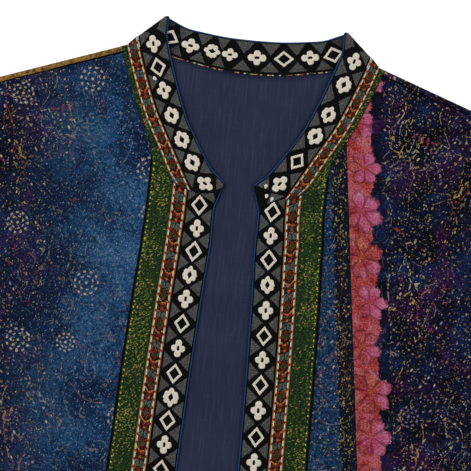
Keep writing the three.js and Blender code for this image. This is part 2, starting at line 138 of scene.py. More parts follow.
# a smooth line through the points, read by place: 0 is the first and 1.5 is halfway past the second
def lineThrough(points):
    points = [Vector(p) for p in points]
    steps = [max((b - a).length, 1e-9) for a, b in zip(points, points[1:])]
    slopes = [(points[1] - points[0]) / steps[0]]
    for k in range(1, len(points) - 1):
        before = (points[k] - points[k - 1]) / steps[k - 1]
        after = (points[k + 1] - points[k]) / steps[k]
        slopes.append((before * steps[k] + after * steps[k - 1]) / (steps[k - 1] + steps[k]))
    slopes.append((points[-1] - points[-2]) / steps[-1])

    def at(x):
        k = min(max(int(x), 0), len(points) - 2)
        t = x - k
        start = slopes[k] * (steps[k] * t * (1 - t) ** 2)
        end = slopes[k + 1] * (steps[k] * t * t * (t - 1))
        return points[k].lerp(points[k + 1], t * t * (3 - 2 * t)) + start + end

    return at


def spread(points, steps):
    line = lineThrough(points)
    return [line(k / steps * (len(points) - 1)) for k in range(steps + 1)]


def movedOut(points, distance):
    moved = []
    for k, p in enumerate(points):
        a, b = points[max(0, k - 1)], points[min(len(points) - 1, k + 1)]
        dx, dy = b[0] - a[0], b[1] - a[1]
        length = math.hypot(dx, dy)
        moved.append((p[0] + dy / length * distance, p[1] - dx / length * distance))
    return moved


# how far each point lies along the line of points
def lengthsAlong(points):
    lengths = [0.0]
    for a, b in zip(points, points[1:]):
        lengths.append(lengths[-1] + math.dist(a, b))
    return lengths


# evenly spaced shares from 0 to 1, with one more close to each end to hold the rounded edge
def shares(width, step, edge=1.3):
    count = max(2, round((width - 2 * edge) / step))
    inner = [edge + (width - 2 * edge) * k / count for k in range(count + 1)]
    return [0.0] + [value / width for value in inner] + [1.0]


# Heights of the layers, each the middle of its cloth

backMiddle = cloth["body"] / 2
liningMiddle = cloth["body"] + cloth["gap"] + cloth["lining"] / 2
sideRest = cloth["body"] + cloth["gap"] + cloth["body"] / 2
frontRest = sideRest + cloth["gap"] + cloth["lining"]
bandRise = cloth["body"] / 2 + cloth["gap"] + cloth["ribbon"] / 2
collarStep = (cloth["collar"] + cloth["facing"]) / 2 + cloth["gap"]
collarLevels = {"backOuter": cloth["collar"] / 2, "frontOuter": frontRest + bandRise}
collarLevels["backInner"] = collarLevels["backOuter"] + collarStep
collarLevels["frontInner"] = collarLevels["frontOuter"] - collarStep
neckLift = {"height": 1.9, "reach": 200}
frontSwell = {
    "height": 1.9, "across": 23, "slant": 61, "down": 90,
    "bands": (95, 50), "side": (4, 50), "shoulder": (30, 60), "sideSlope": 22,
    "foldsFade": (14, 30), "ripple": (9, 14, 0.12),
}


def shoulderDown(across):
    startAcross, startDown = jacket["shoulderStart"]
    return startDown + jacket["shoulderSlope"] * max(0, across - startAcross)


def lift(across, down):
    return neckLift["height"] * (1 - smooth((down - shoulderDown(across)) / neckLift["reach"]))


sideRows = sideSeam + armhole[1:]


def fromSide(across, down):
    k = next((k for k, row in enumerate(sideRows) if row[1] <= down), 1)
    low, high = sideRows[max(1, k) - 1], sideRows[max(1, k)]
    return low[0] + (high[0] - low[0]) * (down - low[1]) / (high[1] - low[1]) - across


# the height of the ridges at a point, each with one side steeper than the other and uneven along its run
def foldsAt(folds, side, across, down):
    total = 0
    for ofSide, start, end, width, height, bend in folds:
        run, off = Vector(end) - Vector(start), Vector((across, down)) - Vector(start)
        t = off.dot(run) / run.length_squared
        if ofSide not in (0, side) or not 0 < t < 1:
            continue
        away = (off.x * run.y - off.y * run.x) / run.length - bend * math.sin(math.pi * t)
        if abs(away) > 4 * width:
            continue
        uneven = 1 + 0.35 * noise.noise((across / 37, down / 37, height * 9))
        steep = width * (0.72 if away > 0 else 1.15) * uneven
        total += height * math.sin(math.pi * t) ** 1.3 * math.exp(-((away / steep) ** 2)) * uneven
    return total


# the front's middle surface: it rests on the lining, sinks to the side seam and swells softly in between
def frontMiddle(side, across, down):
    s = frontSwell
    inFrom = fromSide(across, down)
    beside = 1 - smooth(inFrom / s["sideSlope"])
    belowArm = smooth((down - jacket["underarm"][1]) / s["shoulder"][1] + 1)
    below = down - shoulderDown(across)
    swell = smooth((across - s["bands"][0]) / s["bands"][1]) * smooth((inFrom - s["side"][0]) / s["side"][1])
    swell *= smooth((below - s["shoulder"][0]) / s["shoulder"][1])
    wave = math.sin(across / s["across"] + down / s["slant"]) * math.cos(down / s["down"])
    fadeSide, fadeTop = s["foldsFade"]
    rise = foldsAt(frontFolds, side, across, down) * smooth(inFrom / fadeSide) * smooth(below / fadeTop)
    rippleAcross, rippleDown, ripple = s["ripple"]
    rise += ripple * noise.noise((across / rippleAcross, down / rippleDown, side * 3.7)) + ripple
    return (frontRest + lift(across, down) - (frontRest - sideRest) * beside * belowArm
            + s["height"] * swell * (1 + wave) / 2 + rise)


# Meshes. The uv layer "cut" holds each face corner's place on the cut piece

def newMesh(name, vertices, faces, places):
    mesh = bpy.data.meshes.new(name)
    mesh.from_pydata(vertices, [], faces)
    mesh.uv_layers.new(name="cut").data.foreach_set("uv", np.array(places).reshape(-1))
    mesh.shade_smooth()
    return mesh


def unit(vectors):
    return vectors / np.linalg.norm(vectors, axis=-1, keepdims=True)


# a closed cloth wall around a grid of middle points, its rim rounded
# cut is each point's place on the cut piece
def wall(name, rows, cut, thickness, ring=False):
    mid = np.array([[tuple(p) for p in row] for row in rows])
    count, width = mid.shape[:2]
    over = np.roll(mid, -1, 1) - np.roll(mid, 1, 1) if ring else np.gradient(mid, axis=1)
    half = unit(np.cross(np.gradient(mid, axis=0), over)) * thickness * mm / 2

    pulled = mid.copy()  # the two faces stop a little inside the rim, which rounds it
    pull = 0.3 * thickness * mm
    for index, inner in ((0, 1), (-1, -2)):
        pulled[index] += unit(mid[inner] - mid[index]) * pull
        if not ring:
            pulled[:, index] += unit(mid[:, inner] - mid[:, index]) * pull

    if ring:
        rims = [[(i, j) for j in range(width + 1)] for i in (0, count - 1)]
    else:
        rim = [(0, j) for j in range(width)] + [(i, width - 1) for i in range(1, count)]
        rim += [(count - 1, j) for j in range(width - 2, -1, -1)] + [(i, 0) for i in range(count - 2, -1, -1)]
        rims = [rim]
    size = count * width
    vertices = [(pulled + half).reshape(-1, 3), (pulled - half).reshape(-1, 3)]
    i, j = (a.reshape(-1) for a in np.mgrid[0:count - 1, 0:width if ring else width - 1])
    quad = np.stack([np.stack([i + a, j + b], 1) for a, b in ((0, 0), (1, 0), (1, 1), (0, 1))], 1)
    index = quad[..., 0] * width + quad[..., 1] % width
    faces, places = [index, index[:, ::-1] + size], [quad, quad[:, ::-1]]
    start = 2 * size
    for number, rim in enumerate(rims):
        rim = np.array(rim[::-1] if number else rim)
        vertices.append(mid[rim[:-1, 0], rim[:-1, 1] % width])
        at = rim[:, 0] * width + rim[:, 1] % width
        edge = start + np.arange(len(rim)) % (len(rim) - 1)
        for first, second in ((at, edge), (edge, at + size)):
            faces.append(np.stack([first[:-1], first[1:], second[1:], second[:-1]], 1))
            places.append(np.stack([rim[:-1], rim[1:], rim[1:], rim[:-1]], 1))
        start += len(rim) - 1
    vertices, faces, places = (np.concatenate(parts) for parts in (vertices, faces, places))

    a, b, c, d = (vertices[faces[:, k]] for k in range(4))
    if np.einsum("ij,ij->", a, np.cross(b, c) + np.cross(c, d)) < 0:  # inside out
        faces, places = faces[:, ::-1], places[:, ::-1]
    return newMesh(name, vertices.tolist(), faces.tolist(), np.array(cut)[places[..., 0], places[..., 1]])


def show(name, mesh, finish):
    mesh.materials.clear()
    mesh.materials.append(finish)
    piece = bpy.data.objects.new(name, mesh)
    bpy.context.scene.collection.objects.link(piece)
    return piece


# lays one piece, made of one mesh or joined from several, in the finish that its slot names unless told
def lay(name, meshes, slot, node=None, finish=None, **sheet):
    pieces = [show(name, mesh, finishes[finish or slot]) for mesh in meshes]
    if len(pieces) > 1:
        with bpy.context.temp_override(active_object=pieces[0], selected_editable_objects=pieces):
            bpy.ops.object.join()
        pieces[0].name = name
    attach(pieces[0], "root")
    if node:
        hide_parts(node)


# Shader sums

def ink(code):
    values = [int(code[k:k + 2], 16) / 255 for k in (0, 2, 4)]
    return [v / 12.92 if v <= 0.04045 else ((v + 0.055) / 1.055) ** 2.4 for v in values] + [1.0]


def sumOf(operation):
    return lambda wire, *others: wire.math(operation, *others)


class Wire:
    def __init__(self, finish, socket):
        self.finish, self.socket = finish, socket

    def math(self, operation, *others):
        return self.finish.math(operation, self, *others)

    def also(self, name):
        return Wire(self.finish, self.socket.node.outputs[name])

    def __rsub__(self, other):
        return self.finish.math("SUBTRACT", other, self)

    __add__ = __radd__ = sumOf("ADD")
    __mul__ = __rmul__ = sumOf("MULTIPLY")
    __sub__ = sumOf("SUBTRACT")
    __truediv__ = sumOf("DIVIDE")
    __lt__ = sumOf("LESS_THAN")
    __gt__ = sumOf("GREATER_THAN")
    __abs__ = sumOf("ABSOLUTE")


class Finish:
    def __init__(self, name, rough, gloss=0.06):
        self.material = bpy.data.materials.new(name)
        self.material.use_nodes = True
        self.nodes, self.links = self.material.node_tree.nodes, self.material.node_tree.links
        self.surface = self.nodes["Principled BSDF"].inputs
        self.surface["Roughness"].default_value = rough
        self.surface["Specular IOR Level"].default_value = gloss

    def set(self, socket, value):
        if isinstance(value, Wire):
            self.links.new(value.socket, socket)
        else:
            socket.default_value = ink(value) if isinstance(value, str) else value

    def add(self, kind, inputs, output=0, **settings):
        node = self.nodes.new("ShaderNode" + kind)
        for name, value in settings.items():
            setattr(node, name, value)
        for name, value in inputs.items():
            self.set(node.inputs[name], value)
        return Wire(self, node.outputs[output])

    def math(self, operation, *values):
        return self.add("Math", dict(enumerate(values)), operation=operation)

    def vector(self, operation, *values):
        return self.add("VectorMath", dict(enumerate(values)), operation=operation)

    def mix(self, share, a, b, blend="MIX"):  # 0 is the factor of a colour mix, 6 and 7 are its colours
        return self.add("Mix", {0: share, 6: a, 7: b}, 2, data_type="RGBA", blend_type=blend)

    # the dye at a value, from a table of places and colours, blended from one to the next unless stepped
    def dye(self, stops, value, stepped=False):
        dyed = self.add("ValToRGB", {"Fac": value})
        ramp = dyed.socket.node.color_ramp
        ramp.interpolation = "CONSTANT" if stepped else "LINEAR"
        while len(ramp.elements) < len(stops):
            ramp.elements.new(0.5)
        for element, (position, colour) in zip(ramp.elements, stops.items()):
            element.position, element.color = position, ink(colour) if isinstance(colour, str) else colour
        return dyed

    def cut(self):
        return self.add("UVMap", {}, uv_map="cut")

    def object(self):
        return self.add("TexCoord", {}, "Object")

    def attribute(self, name, output):
        return self.add("Attribute", {}, output, attribute_name=name)

    def parts(self, vector):
        split = self.add("SeparateXYZ", {0: vector})
        return split, split.also("Y"), split.also("Z")

    def noise(self, place, size, detail=2, rough=0.5, bend=0.0, output=0):
        inputs = {"Vector": place, "Scale": 1 / (size * mm), "Detail": detail,
                  "Roughness": rough, "Distortion": bend}
        return self.add("TexNoise", inputs, output)

    def stretched(self, place, x, y):
        return self.vector("MULTIPLY", place, (x, y, 1))

    def softer(self, value, low, high):  # 0 below low, 1 above high
        inputs = {"Value": value, "From Min": low, "From Max": high}
        return self.add("MapRange", inputs, clamp=True, interpolation_type="SMOOTHSTEP")

    def cells(self, place, size, uneven, output):
        inputs = {"Vector": place, "Scale": 1 / (size * mm), "Randomness": uneven}
        return self.add("TexVoronoi", inputs, output, voronoi_dimensions="2D")

    def weave(self, place, pitch):  # plain weave, over and under
        x, y, z = self.parts(place)
        turn = 2 * math.pi / (pitch * mm)
        return (x * turn).math("SINE") * (y * turn).math("SINE")

    # spots in cells; share is how many cells hold one, and the second value tells them apart
    def spots(self, place, cell, size, share, long=1.0, turn=0.0):
        turned = self.add("VectorRotate", {"Vector": place, "Angle": turn}, rotation_type="Z_AXIS")
        cells = self.cells(self.stretched(turned, 1, 1 / long), cell, 1.0, "Distance")
        red, green, blue = self.parts(cells.also("Color"))
        return (red < share) * (cells < (green * 0.7 + 0.5) * (size / cell)), blue

    def done(self, colour, height, depth):
        self.set(self.surface["Base Color"], colour)
        inputs = {"Height": height, "Distance": depth * mm, "Strength": 0.6}
        self.set(self.surface["Normal"], self.add("Bump", inputs))
        return self.material


# Finishes

def linen():
    look = {
        "deep": "272c43", "pale": "373e57", "slub": "4c566f", "shade": "0d1020",
        "thread": 0.55, "shadow": 0.3,
    }
    # how far out the opening reaches at each place down, which sets where the painted shadow beside the
    # fronts lies
    opening = {0: 82, 15: 80, 30: 77, 47: 71, 63: 66, 79: 59, 92: 53, 107: 45, 124: 34, 137: 24, 146: 13,
               165: 23, 250: 24, 690: 40}
    f = Finish("navyLining", 0.85)
    place = f.cut()
    u, v, w = f.parts(place)
    upright = f.noise(f.stretched(place, 1, 0.03), 1.1, 3, 0.6)
    level = f.noise(f.stretched(place, 0.05, 1), 1.2, 2, 0.6)
    lines = f.softer(upright, 0.48, 0.7) * 0.36 + f.softer(level, 0.56, 0.76) * 0.2
    woven = f.mix(lines, f.mix(f.noise(place, 60, 3), look["deep"], look["pale"]), look["slub"])
    # painted shadow: the lining is darkened towards the shade colour beside the front edges, out to where the
    # opening reaches, and just below the neck seam; shadow is the share of the cloth's own colour left where
    # it is deepest
    stops = {down / 690: [across / 100] * 3 + [1] for down, across in opening.items()}
    reach = f.parts(f.dye(stops, v / (690 * mm)))[0] * (100 * mm)
    beside = f.softer(reach - abs(u), -3 * mm, 7 * mm)
    seamDown = (u * u) * (-2.0) + 44.5 * mm  # the neck seam is 44.5 down at its middle
    below = f.softer(v - seamDown, 0, 8 * mm)
    light = beside * below * (1 - look["shadow"]) + look["shadow"]
    height = f.weave(place, look["thread"]) * 0.4 + upright + level * 0.6
    return f.done(f.mix(light, look["shade"], woven), height, 0.22)


def wideRibbonCloth(name, shaded=None):
    look = {
        "black": "0b0b0c", "blackThread": "1c1c1d", "grey": "444443", "greyThread": "80807c",
        "frame": 1.2,  # how far the black reaches from the middle of a diamond, 1 being its corner
        "edges": (-0.95, 0.87), "threadsEach": 22,
    }
    f = Finish(name, 0.82)
    u, v, w = f.parts(f.cut())  # u runs from -1 to 1 over the ribbon and v counts the diamonds
    place = f.object()
    away = abs(u) + 2 * abs(v - v.math("ROUND")) + (f.noise(place, 1.1, 1) - 0.5) * 0.16
    rim = (u < look["edges"][0]) + (u > look["edges"][1])
    black = (away < look["frame"]).math("MAXIMUM", rim.math("MINIMUM", 1.0))
    rib = (v * (2 * math.pi * look["threadsEach"])).math("SINE")
    heather = f.softer(f.noise(place, 0.9, 2, 0.7), 0.45, 0.75)
    dark = f.mix(heather * 0.8, look["black"], look["blackThread"])
    colour = f.mix(black, f.mix(heather, look["grey"], look["greyThread"]), dark)
    # painted shade: when shaded is given, the ribbon darkens up to two thirds of the way to black between
    # shaded[0] and shaded[1] millimetres either side of the middle, towards the collar's shoulder folds
    if shaded:
        x, y, z = f.parts(place)
        paintedFoldShade = f.softer(abs(x - 9 * mm), shaded[0] * mm, shaded[1] * mm)
        colour = f.mix(paintedFoldShade * 0.65, colour, look["black"])
    return f.done(colour, rib * 0.5 + heather + black * 0.8, 0.25)


def narrowRibbonCloth():
    f = Finish("wovenNarrowRibbon", 0.78)
    u, v, w = f.parts(f.cut())  # both count threads
    fine = f.noise(f.object(), 0.7, 2, 0.6)
    colour = f.mix(f.softer(fine, 0.3, 0.9) * 0.35, f.attribute("thread", "Color"), "ffffff", "SOFT_LIGHT")
    return f.done(colour, abs((u * math.pi).math("SINE")) + abs((v * math.pi).math("SINE")) + fine * 0.5, 0.3)


def greenCloth():
    look = {"deep": "101e10", "mid": "2a4226", "fleck": "5c6c2e", "line": "0b0b0d", "lineWidth": 2.2}
    f = Finish("fleckedGreenBand", 0.88)
    place = f.cut()  # x runs inwards from the outer edge
    fine = f.noise(place, 1.5, 2, 0.7)
    broad = f.softer(f.noise(place, 16, 2), 0.4, 0.62)
    flecks, tint = f.spots(place, 1.7, 0.62, 0.42, 1.5, 0.7)
    base = f.mix(f.softer(fine, 0.4, 0.6), look["deep"], look["mid"])
    green = f.mix(flecks * (broad * 0.6 + 0.12), base, look["fleck"])
    line = f.parts(place)[0] < look["lineWidth"] * mm
    return f.done(f.mix(line, green, look["line"]), fine + flecks * 0.7, 0.3)


def threadCloth(name, stops, stepped=False):
    f = Finish(name, 0.7)
    dye = f.dye(stops, f.attribute("shade", "Fac"), stepped)
    fine = f.noise(f.object(), 0.5, 2, 0.6)
    shadow = f.mix(1.0, dye, "9a9080", "MULTIPLY")
    return f.done(f.mix(f.softer(fine, 0.35, 0.7) * 0.3, dye, shadow), fine, 0.12)


def creamThread():
    look = {"rim": "fbf3e3", "inner": "e4dac5", "shadow": "a8997f", "strands": 40}
    f = Finish("creamThread", 0.72)
    u, v, w = f.parts(f.cut())  # u is 0 at the middle of a stroke or petal and 1 at its rim
    fine = f.noise(f.object(), 0.6, 2, 0.6)
    base = f.mix(f.softer(u + (fine - 0.5) * 0.5, 0.1, 0.6), look["inner"], look["rim"])
    colour = f.mix(f.softer(fine, 0.45, 0.8) * 0.35, base, look["shadow"])
    return f.done(colour, (v * look["strands"]).math("SINE") * 0.5 + fine, 0.15)


def pipingCloth():
    look = {"deep": "0f2a52", "pale": "265793", "twist": 1.9}
    f = Finish("bluePiping", 0.55, 0.15)
    u, v, w = f.parts(f.cut())  # u goes once round the cord, v is millimetres along it
    twist = ((u + v / look["twist"]) * (2 * math.pi)).math("SINE")
    fine = f.noise(f.object(), 0.8, 2)
    colour = f.mix(f.softer(twist + fine, -0.6, 1.6), look["deep"], look["pale"])
    return f.done(colour, twist + fine * 0.5, 0.15)


printing = {
    "drift": 9,
    "darkDyes": {0.3: "06060a", 0.44: "0b0c15", 0.51: "11152a", 0.58: "16264c", 0.7: "1f3c68"},
    "shadowDyes": ("0b0f1c", "1c2c4c"), "purpleDyes": ("1f0e33", "5e2263"), "flush": 0.5,
    "speckDyes": {0.0: "8a6a34", 0.35: "b8965a", 0.6: "cfc3a6", 0.8: "8494ad", 1.0: "a0492a"},
    # spots of the grain: cell, size, share of the cells, dye
    "grains": [(1.9, 0.5, 0.5, "5f86b0"), (2.3, 0.55, 0.55, "070c1a"), (3.1, 0.46, 0.24, "a9b4bd")],
    # gold and cream specks: cell, size, share of the cells, length for each width, turn
    "tiny": (4.4, 0.42, 0.5, 1.3, 0.4),
    "specks": [(3.7, 0.6, 0.42, 1.5, 0.9), (2.7, 0.42, 0.42, 1.0, 0.0), (5.2, 0.72, 0.5, 1.9, -0.5)],
    # dashed curls: size, shift of their noise, dye, and the level that keeps them to parts of the cloth
    "curls": [
        (34, 0.0, "c09a54", 0.46), (27, 5.0, "b5aa8e", 0.46),
        (38, 11.0, "a03a2a", 0.54), (30, 17.0, "8f3060", 0.55),
    ],
    "curlWidth": 0.0052, "curlSlope": 0.0035, "curlProbe": (1.4, 0.9),
}


# printed cloth: mottled blue, navy and purple dye with a grain, specks, dashed curls and rings of dots,
# and for one front the stripes and the warm strip beside its green band
def printedCloth(name, look):
    p = printing
    f = Finish(name, 0.88)
    flat = f.cut()
    u, v, w = f.parts(flat)
    drift = f.vector("SUBTRACT", f.noise(flat, 45, output="Color"), (0.5, 0.5, 0.5))
    place = f.vector("ADD", flat, f.vector("MULTIPLY", drift, [p["drift"] * mm] * 3))
    cloud = f.noise(place, 70, 4, 0.6)
    grain = f.noise(place, 2.6, 4, 0.8)
    outwards = f.softer(u + (cloud - 0.5) * (110 * mm), look["dark"][0] * mm, look["dark"][1] * mm)
    base = f.dye(look["dyes"], cloud * 0.45 + grain * 0.55)
    base = f.mix(f.softer(cloud, 0.56, 0.4) * 0.75, base, f.mix(grain, *p["shadowDyes"]))
    colour = f.mix(outwards, base, f.dye(p["darkDyes"], f.noise(place, 38, 4, 0.65) * 0.5 + grain * 0.5))
    purple = f.softer(f.noise(place, 52, 3, 0.6, 0.6), 0.5, 0.64) * outwards * f.softer(grain, 0.35, 0.6)
    colour = f.mix(purple * p["flush"], colour, f.mix(grain, *p["purpleDyes"]))
    kept = calm = 1.0  # how much of the specks and of the curls is left on the strip and on the stripes
    if "strip" in look:
        x = outsideStrip(u, v, look["strip"])
        colour = stripes(f, colour, flat, grain, x, look["strip"])
        colour = blossoms(f, colour, flat, place, v, x, look["strip"])
        kept = 1 - f.softer(abs(x - 15), 22, 14) * 0.8
        calm = f.softer(x, -6, 2) * 0.65 + 0.35
    for cell, size, share, dye in p["grains"]:
        grains, tint = f.spots(place, cell, size, share, 1.4, 0.3)
        colour = f.mix(grains * (1 - outwards) * kept * (tint * 0.5 + 0.25), colour, dye)
    tiny, tint = f.spots(place, *p["tiny"])
    colour = f.mix(tiny * kept * 0.7, colour, f.dye(p["speckDyes"], tint))
    crowd = f.noise(place, 26, 2) * (outwards * 0.6 + look["specks"]) * kept
    for shape in p["specks"]:
        spots, tint = f.spots(place, *shape)
        strength = (tint * 41).math("SINE") * 0.32 + 0.6
        colour = f.mix(spots * (crowd > 0.23) * strength, colour, f.dye(p["speckDyes"], tint))
    flow = f.stretched(place, 1, 0.6)
    dashes = f.noise(place, 2.6, 1) > 0.48
    for size, shift, dye, low in p["curls"]:
        probes = [(shift, shift, 0), (shift + p["curlProbe"][0] * mm, shift + p["curlProbe"][1] * mm, 0)]
        curl, nearby = (f.noise(f.vector("ADD", flow, probe), size, 1, 0.5, 0.9) for probe in probes)
        where = f.noise(f.vector("ADD", flat, (0, shift, 0)), 80, 1) > low
        line = (abs(curl - 0.5) < p["curlWidth"]) * (abs(nearby - curl) > p["curlSlope"]) * dashes * where
        colour = f.mix(line * outwards.math("MAXIMUM", 0.3) * kept * calm * 0.85, colour, dye)
    colour = dotRings(f, colour, flat, look["rings"])
    if "shoulder" in look:  # the shoulder roll at the picture's left is gold
        gold = f.dye(look["shoulder"], f.noise(flat, 3.2, 4, 0.85))
        colour = f.mix((u < 0) * (v < 0.13), colour, gold)
    return f.done(colour, f.weave(flat, 0.6) * 0.5 + grain, 0.18)


# a ring of small dots round a smaller one and a middle dot, scattered over the cloth
def dotRings(f, colour, flat, look):
    cells = f.cells(flat, look["cell"], 0.75, "Position")
    red, green, blue = f.parts(cells.also("Color"))
    x, y, z = f.parts(f.vector("SUBTRACT", flat, cells))
    radius = (x * x + y * y).math("SQRT") / mm
    turn = y.math("ARCTAN2", x)
    reach = (blue * 0.4 + 0.8) * look["radius"]
    outer = (abs(radius - reach) < 0.85) * ((turn * 11.0 + green * 6).math("COSINE") > 0.2)
    inner = (abs(radius - reach * 0.6) < 0.6) * ((turn * 7.0).math("COSINE") > 0.1)
    there = (red < look["share"]) * (outer + inner + (radius < 1.2)).math("MINIMUM", 1.0)
    return f.mix(there * 0.75, colour, look["dye"])


# how many millimetres outside the strip's inner edge a place on the cloth is
def outsideStrip(u, v, look):
    return (u - (v - look["from"][1] * mm) * look["slope"] - look["from"][0] * mm) / mm


# the blue and the dark flecked stripes between the green band and the warm strip
def stripes(f, colour, flat, grain, x, look):
    ragged = (f.noise(f.stretched(flat, 1, 0.3), 5, 3, 0.7) - 0.5) * 9
    flecks, tint = f.spots(flat, 2.6, 0.6, 0.5, 1.8, 0.2)
    dark = f.mix(flecks * (f.noise(flat, 12, 2) > 0.48), f.mix(grain, *look["darkDyes"]),
                 f.mix(tint > 0.5, *look["fleckDyes"]))
    colour = f.mix(x < 0, colour, dark)
    return f.mix(x < ragged - look["blueFrom"], colour, f.dye(look["blueDyes"], grain))


# a chain of scalloped blossoms on a warm grainy strip
def blossoms(f, colour, flat, place, v, x, look):
    number = (v / (look["pitch"] * mm)).math("ROUND")
    y = (v / (look["pitch"] * mm) - number) * look["pitch"]
    dx = x - ((number * 2.4).math("SINE") * look["sway"] + look["middle"])
    radius = (dx * dx + y * y).math("SQRT")
    angle = y.math("ARCTAN2", dx) + number * 0.7
    ruffle = (f.noise(flat, 5, 4, 0.75) - 0.5) * 12
    scallop = abs((angle * 3.0).math("COSINE"))
    reach = scallop * 5 + look["radius"] + (number * 1.7).math("SINE") * 2.5 + ruffle
    blossom = (radius < reach) * (x > 0)
    strip = (x > 0) * (x < f.noise(f.stretched(flat, 0.02, 1), 34, 2) * 20 + look["width"] + ruffle)
    mottle = (f.noise(flat, 1.6, 3, 0.8) - 0.5) * 2.1 + 0.5
    warm = f.noise(place, 15, 3, 0.65)
    ground = f.dye(look["groundDyes"], warm * 0.55 + mottle * 0.45)
    inward = radius / reach
    petal = f.dye(look["petalDyes"], inward * 0.2 + warm * 0.34 + mottle * 0.5 - 0.04)
    embers = f.softer(f.noise(place, 42, 3, 0.6) - x * 0.012, 0.26, 0.36)
    petal = f.mix(embers * 0.8, petal, f.dye(look["emberDyes"], warm * 0.5 + mottle * 0.5))
    folds = (abs((angle * 3.0).math("SINE")) > 0.93) * (inward > 0.12) * (mottle > 0.36)
    rim = f.softer(inward, 0.8, 0.96) * (f.noise(flat, 4, 2) > 0.42)
    petal = f.mix(folds.math("MAXIMUM", rim) * 0.7, petal, look["crease"])
    petal = f.mix((radius < 2.2) * (mottle > 0.4) * 0.7, petal, look["eye"])
    return f.mix(strip.math("MAXIMUM", blossom), colour, f.mix(blossom, ground, petal))


printRight = {
    "dark": (110, 225), "specks": 0.2,
    "dyes": {0.34: "0b1226", 0.43: "13284a", 0.5: "1c4068", 0.56: "2c577f", 0.66: "5a80a0"},
    "rings": {"cell": 58, "radius": 9.5, "share": 0.72, "dye": "bdb09c"},
}
printLeft = {
    "dark": (40, 90), "specks": 0.22,
    "dyes": {0.25: "0a1226", 0.45: "12325e", 0.58: "1b4577", 0.8: "2f6396"},
    "rings": {"cell": 80, "radius": 8, "share": 0.3, "dye": "8f7c94"},
    "strip": {
        "from": (99.5, 150), "slope": 0.145, "pitch": 40, "sway": 4, "middle": 12, "radius": 13, "width": 12,
        "blueFrom": 15, "blueDyes": {0.36: "0a1528", 0.5: "163253", 0.62: "2c567e"},
        "darkDyes": ("0b0d14", "1c2030"), "fleckDyes": ("a5884a", "56702c"),
        "crease": "5e1420", "eye": "a8542c",
        "groundDyes": {0.36: "6e1519", 0.45: "a5342a", 0.52: "b9534e", 0.6: "c2668a", 0.7: "c98a50"},
        "emberDyes": {0.34: "5c1214", 0.44: "94261f", 0.53: "b0413a", 0.61: "bf6a3c", 0.72: "cf974e"},
        "petalDyes": {0.34: "a02f44", 0.44: "b84c70", 0.54: "c4678f", 0.64: "cf88a8", 0.74: "d29562"},
    },
}
goldDyes = {0.36: "1e1710", 0.44: "5c4420", 0.51: "92703a", 0.57: "b58a4a", 0.64: "8c4a24"}
fleckDyes = {0.0: "858f3c", 0.35: "a09f4c", 0.65: "67752f", 0.88: "b47c54", 0.96: "c59a68"}
neckDyes = {
    0.0: "b3925a", 0.22: "24232c", 0.4: "d8cdb6", 0.56: "a5472f",
    0.68: "35552c", 0.78: "2c2440", 0.9: "c2a268",
}

finishes = {
    "print_left": printedCloth("printedClothLeft", printLeft),
    "print_right": printedCloth("printedClothRight", printRight),
    "print_back": printedCloth("printedClothBack", dict(printRight, dark=(20, 120), shoulder=goldDyes)),
    "lining": linen(),
    "wide_ribbon": wideRibbonCloth("wovenWideRibbon"),
    # the collar's inside layer: the wide ribbon with painted shade towards the shoulder folds
    "wideShaded": wideRibbonCloth("wovenWideRibbonInsidePaintedShade", (58, 82)),
    "narrow_ribbon": narrowRibbonCloth(),
    "green_band": greenCloth(),
    "piping": pipingCloth(),
    "cream": creamThread(),
    "flecks": threadCloth("greenBandFlecks", fleckDyes, stepped=True),
    "dots": threadCloth("yellowDots", {0.0: "b9a94a", 1.0: "cfc35a"}),
    "neckThread": threadCloth("neckSeamThread", neckDyes, stepped=True),
    "hemThread": threadCloth("navyThread", {0.0: "1a2444", 1.0: "2b3a66"}),
}
print("finishes made")


# Camera, floor and lights

view = {
    "lens": 85, "sensor": 36, "pixels": 471, "perPixel": 0.9,  # millimetres of cloth for each pixel
    "over": (7.65, 153.7), "turn": 5.3,
}


def addCamera():
    data = bpy.data.cameras.new("camera")
    data.lens, data.sensor_width = view["lens"], view["sensor"]
    camera = bpy.data.objects.new("camera", data)
    away = view["pixels"] * view["perPixel"] * view["lens"] / view["sensor"] + frontRest
    camera.location = Vector((*view["over"], away)) * mm
    camera.rotation_euler = (0, 0, math.radians(view["turn"]))
    bpy.context.scene.collection.objects.link(camera)
    bpy.context.scene.camera = camera


def addLight(name, place, size, power):
    data = bpy.data.lights.new(name, "AREA")
    data.shape, data.size, data.energy = "DISK", size, power
    lamp = bpy.data.objects.new(name, data)
    lamp.location = place
    lamp.rotation_euler = Vector(place).to_track_quat("Z", "Y").to_euler()
    bpy.context.scene.collection.objects.link(lamp)


def addFloor():
    f = Finish("whiteFloor", 0.9, 0.5)
    f.surface["Emission Strength"].default_value = 0.55
    f.surface["Emission Color"].default_value = (1, 1, 1, 1)
    pale = f.mix(f.noise(f.object(), 40, 2), (0.9, 0.9, 0.9, 1), (0.93, 0.93, 0.93, 1))
    f.set(f.surface["Base Color"], pale)
    mesh = bpy.data.meshes.new("floor")
    reach, under = 4.0, -0.5 * mm
    corners = [(-reach, -reach, under), (reach, -reach, under), (reach, reach, under), (-reach, reach, under)]
    mesh.from_pydata(corners, [], [(0, 1, 2, 3)])
    show("floor", mesh, f.material)


addCamera()
addFloor()
addLight("softKey", (-0.9, 1.1, 1.7), 1.1, 19)
addLight("softFill", (1.1, -0.5, 1.9), 1.8, 7)
world = bpy.data.worlds.new("studio")
world.use_nodes = True
world.node_tree.nodes["Background"].inputs["Color"].default_value = (1, 1, 1, 1)
world.node_tree.nodes["Background"].inputs["Strength"].default_value = 0.33
bpy.context.scene.world = world
bpy.context.scene.view_settings.view_transform = "Standard"
print("camera, floor and lights placed")


# Back, lining and fronts

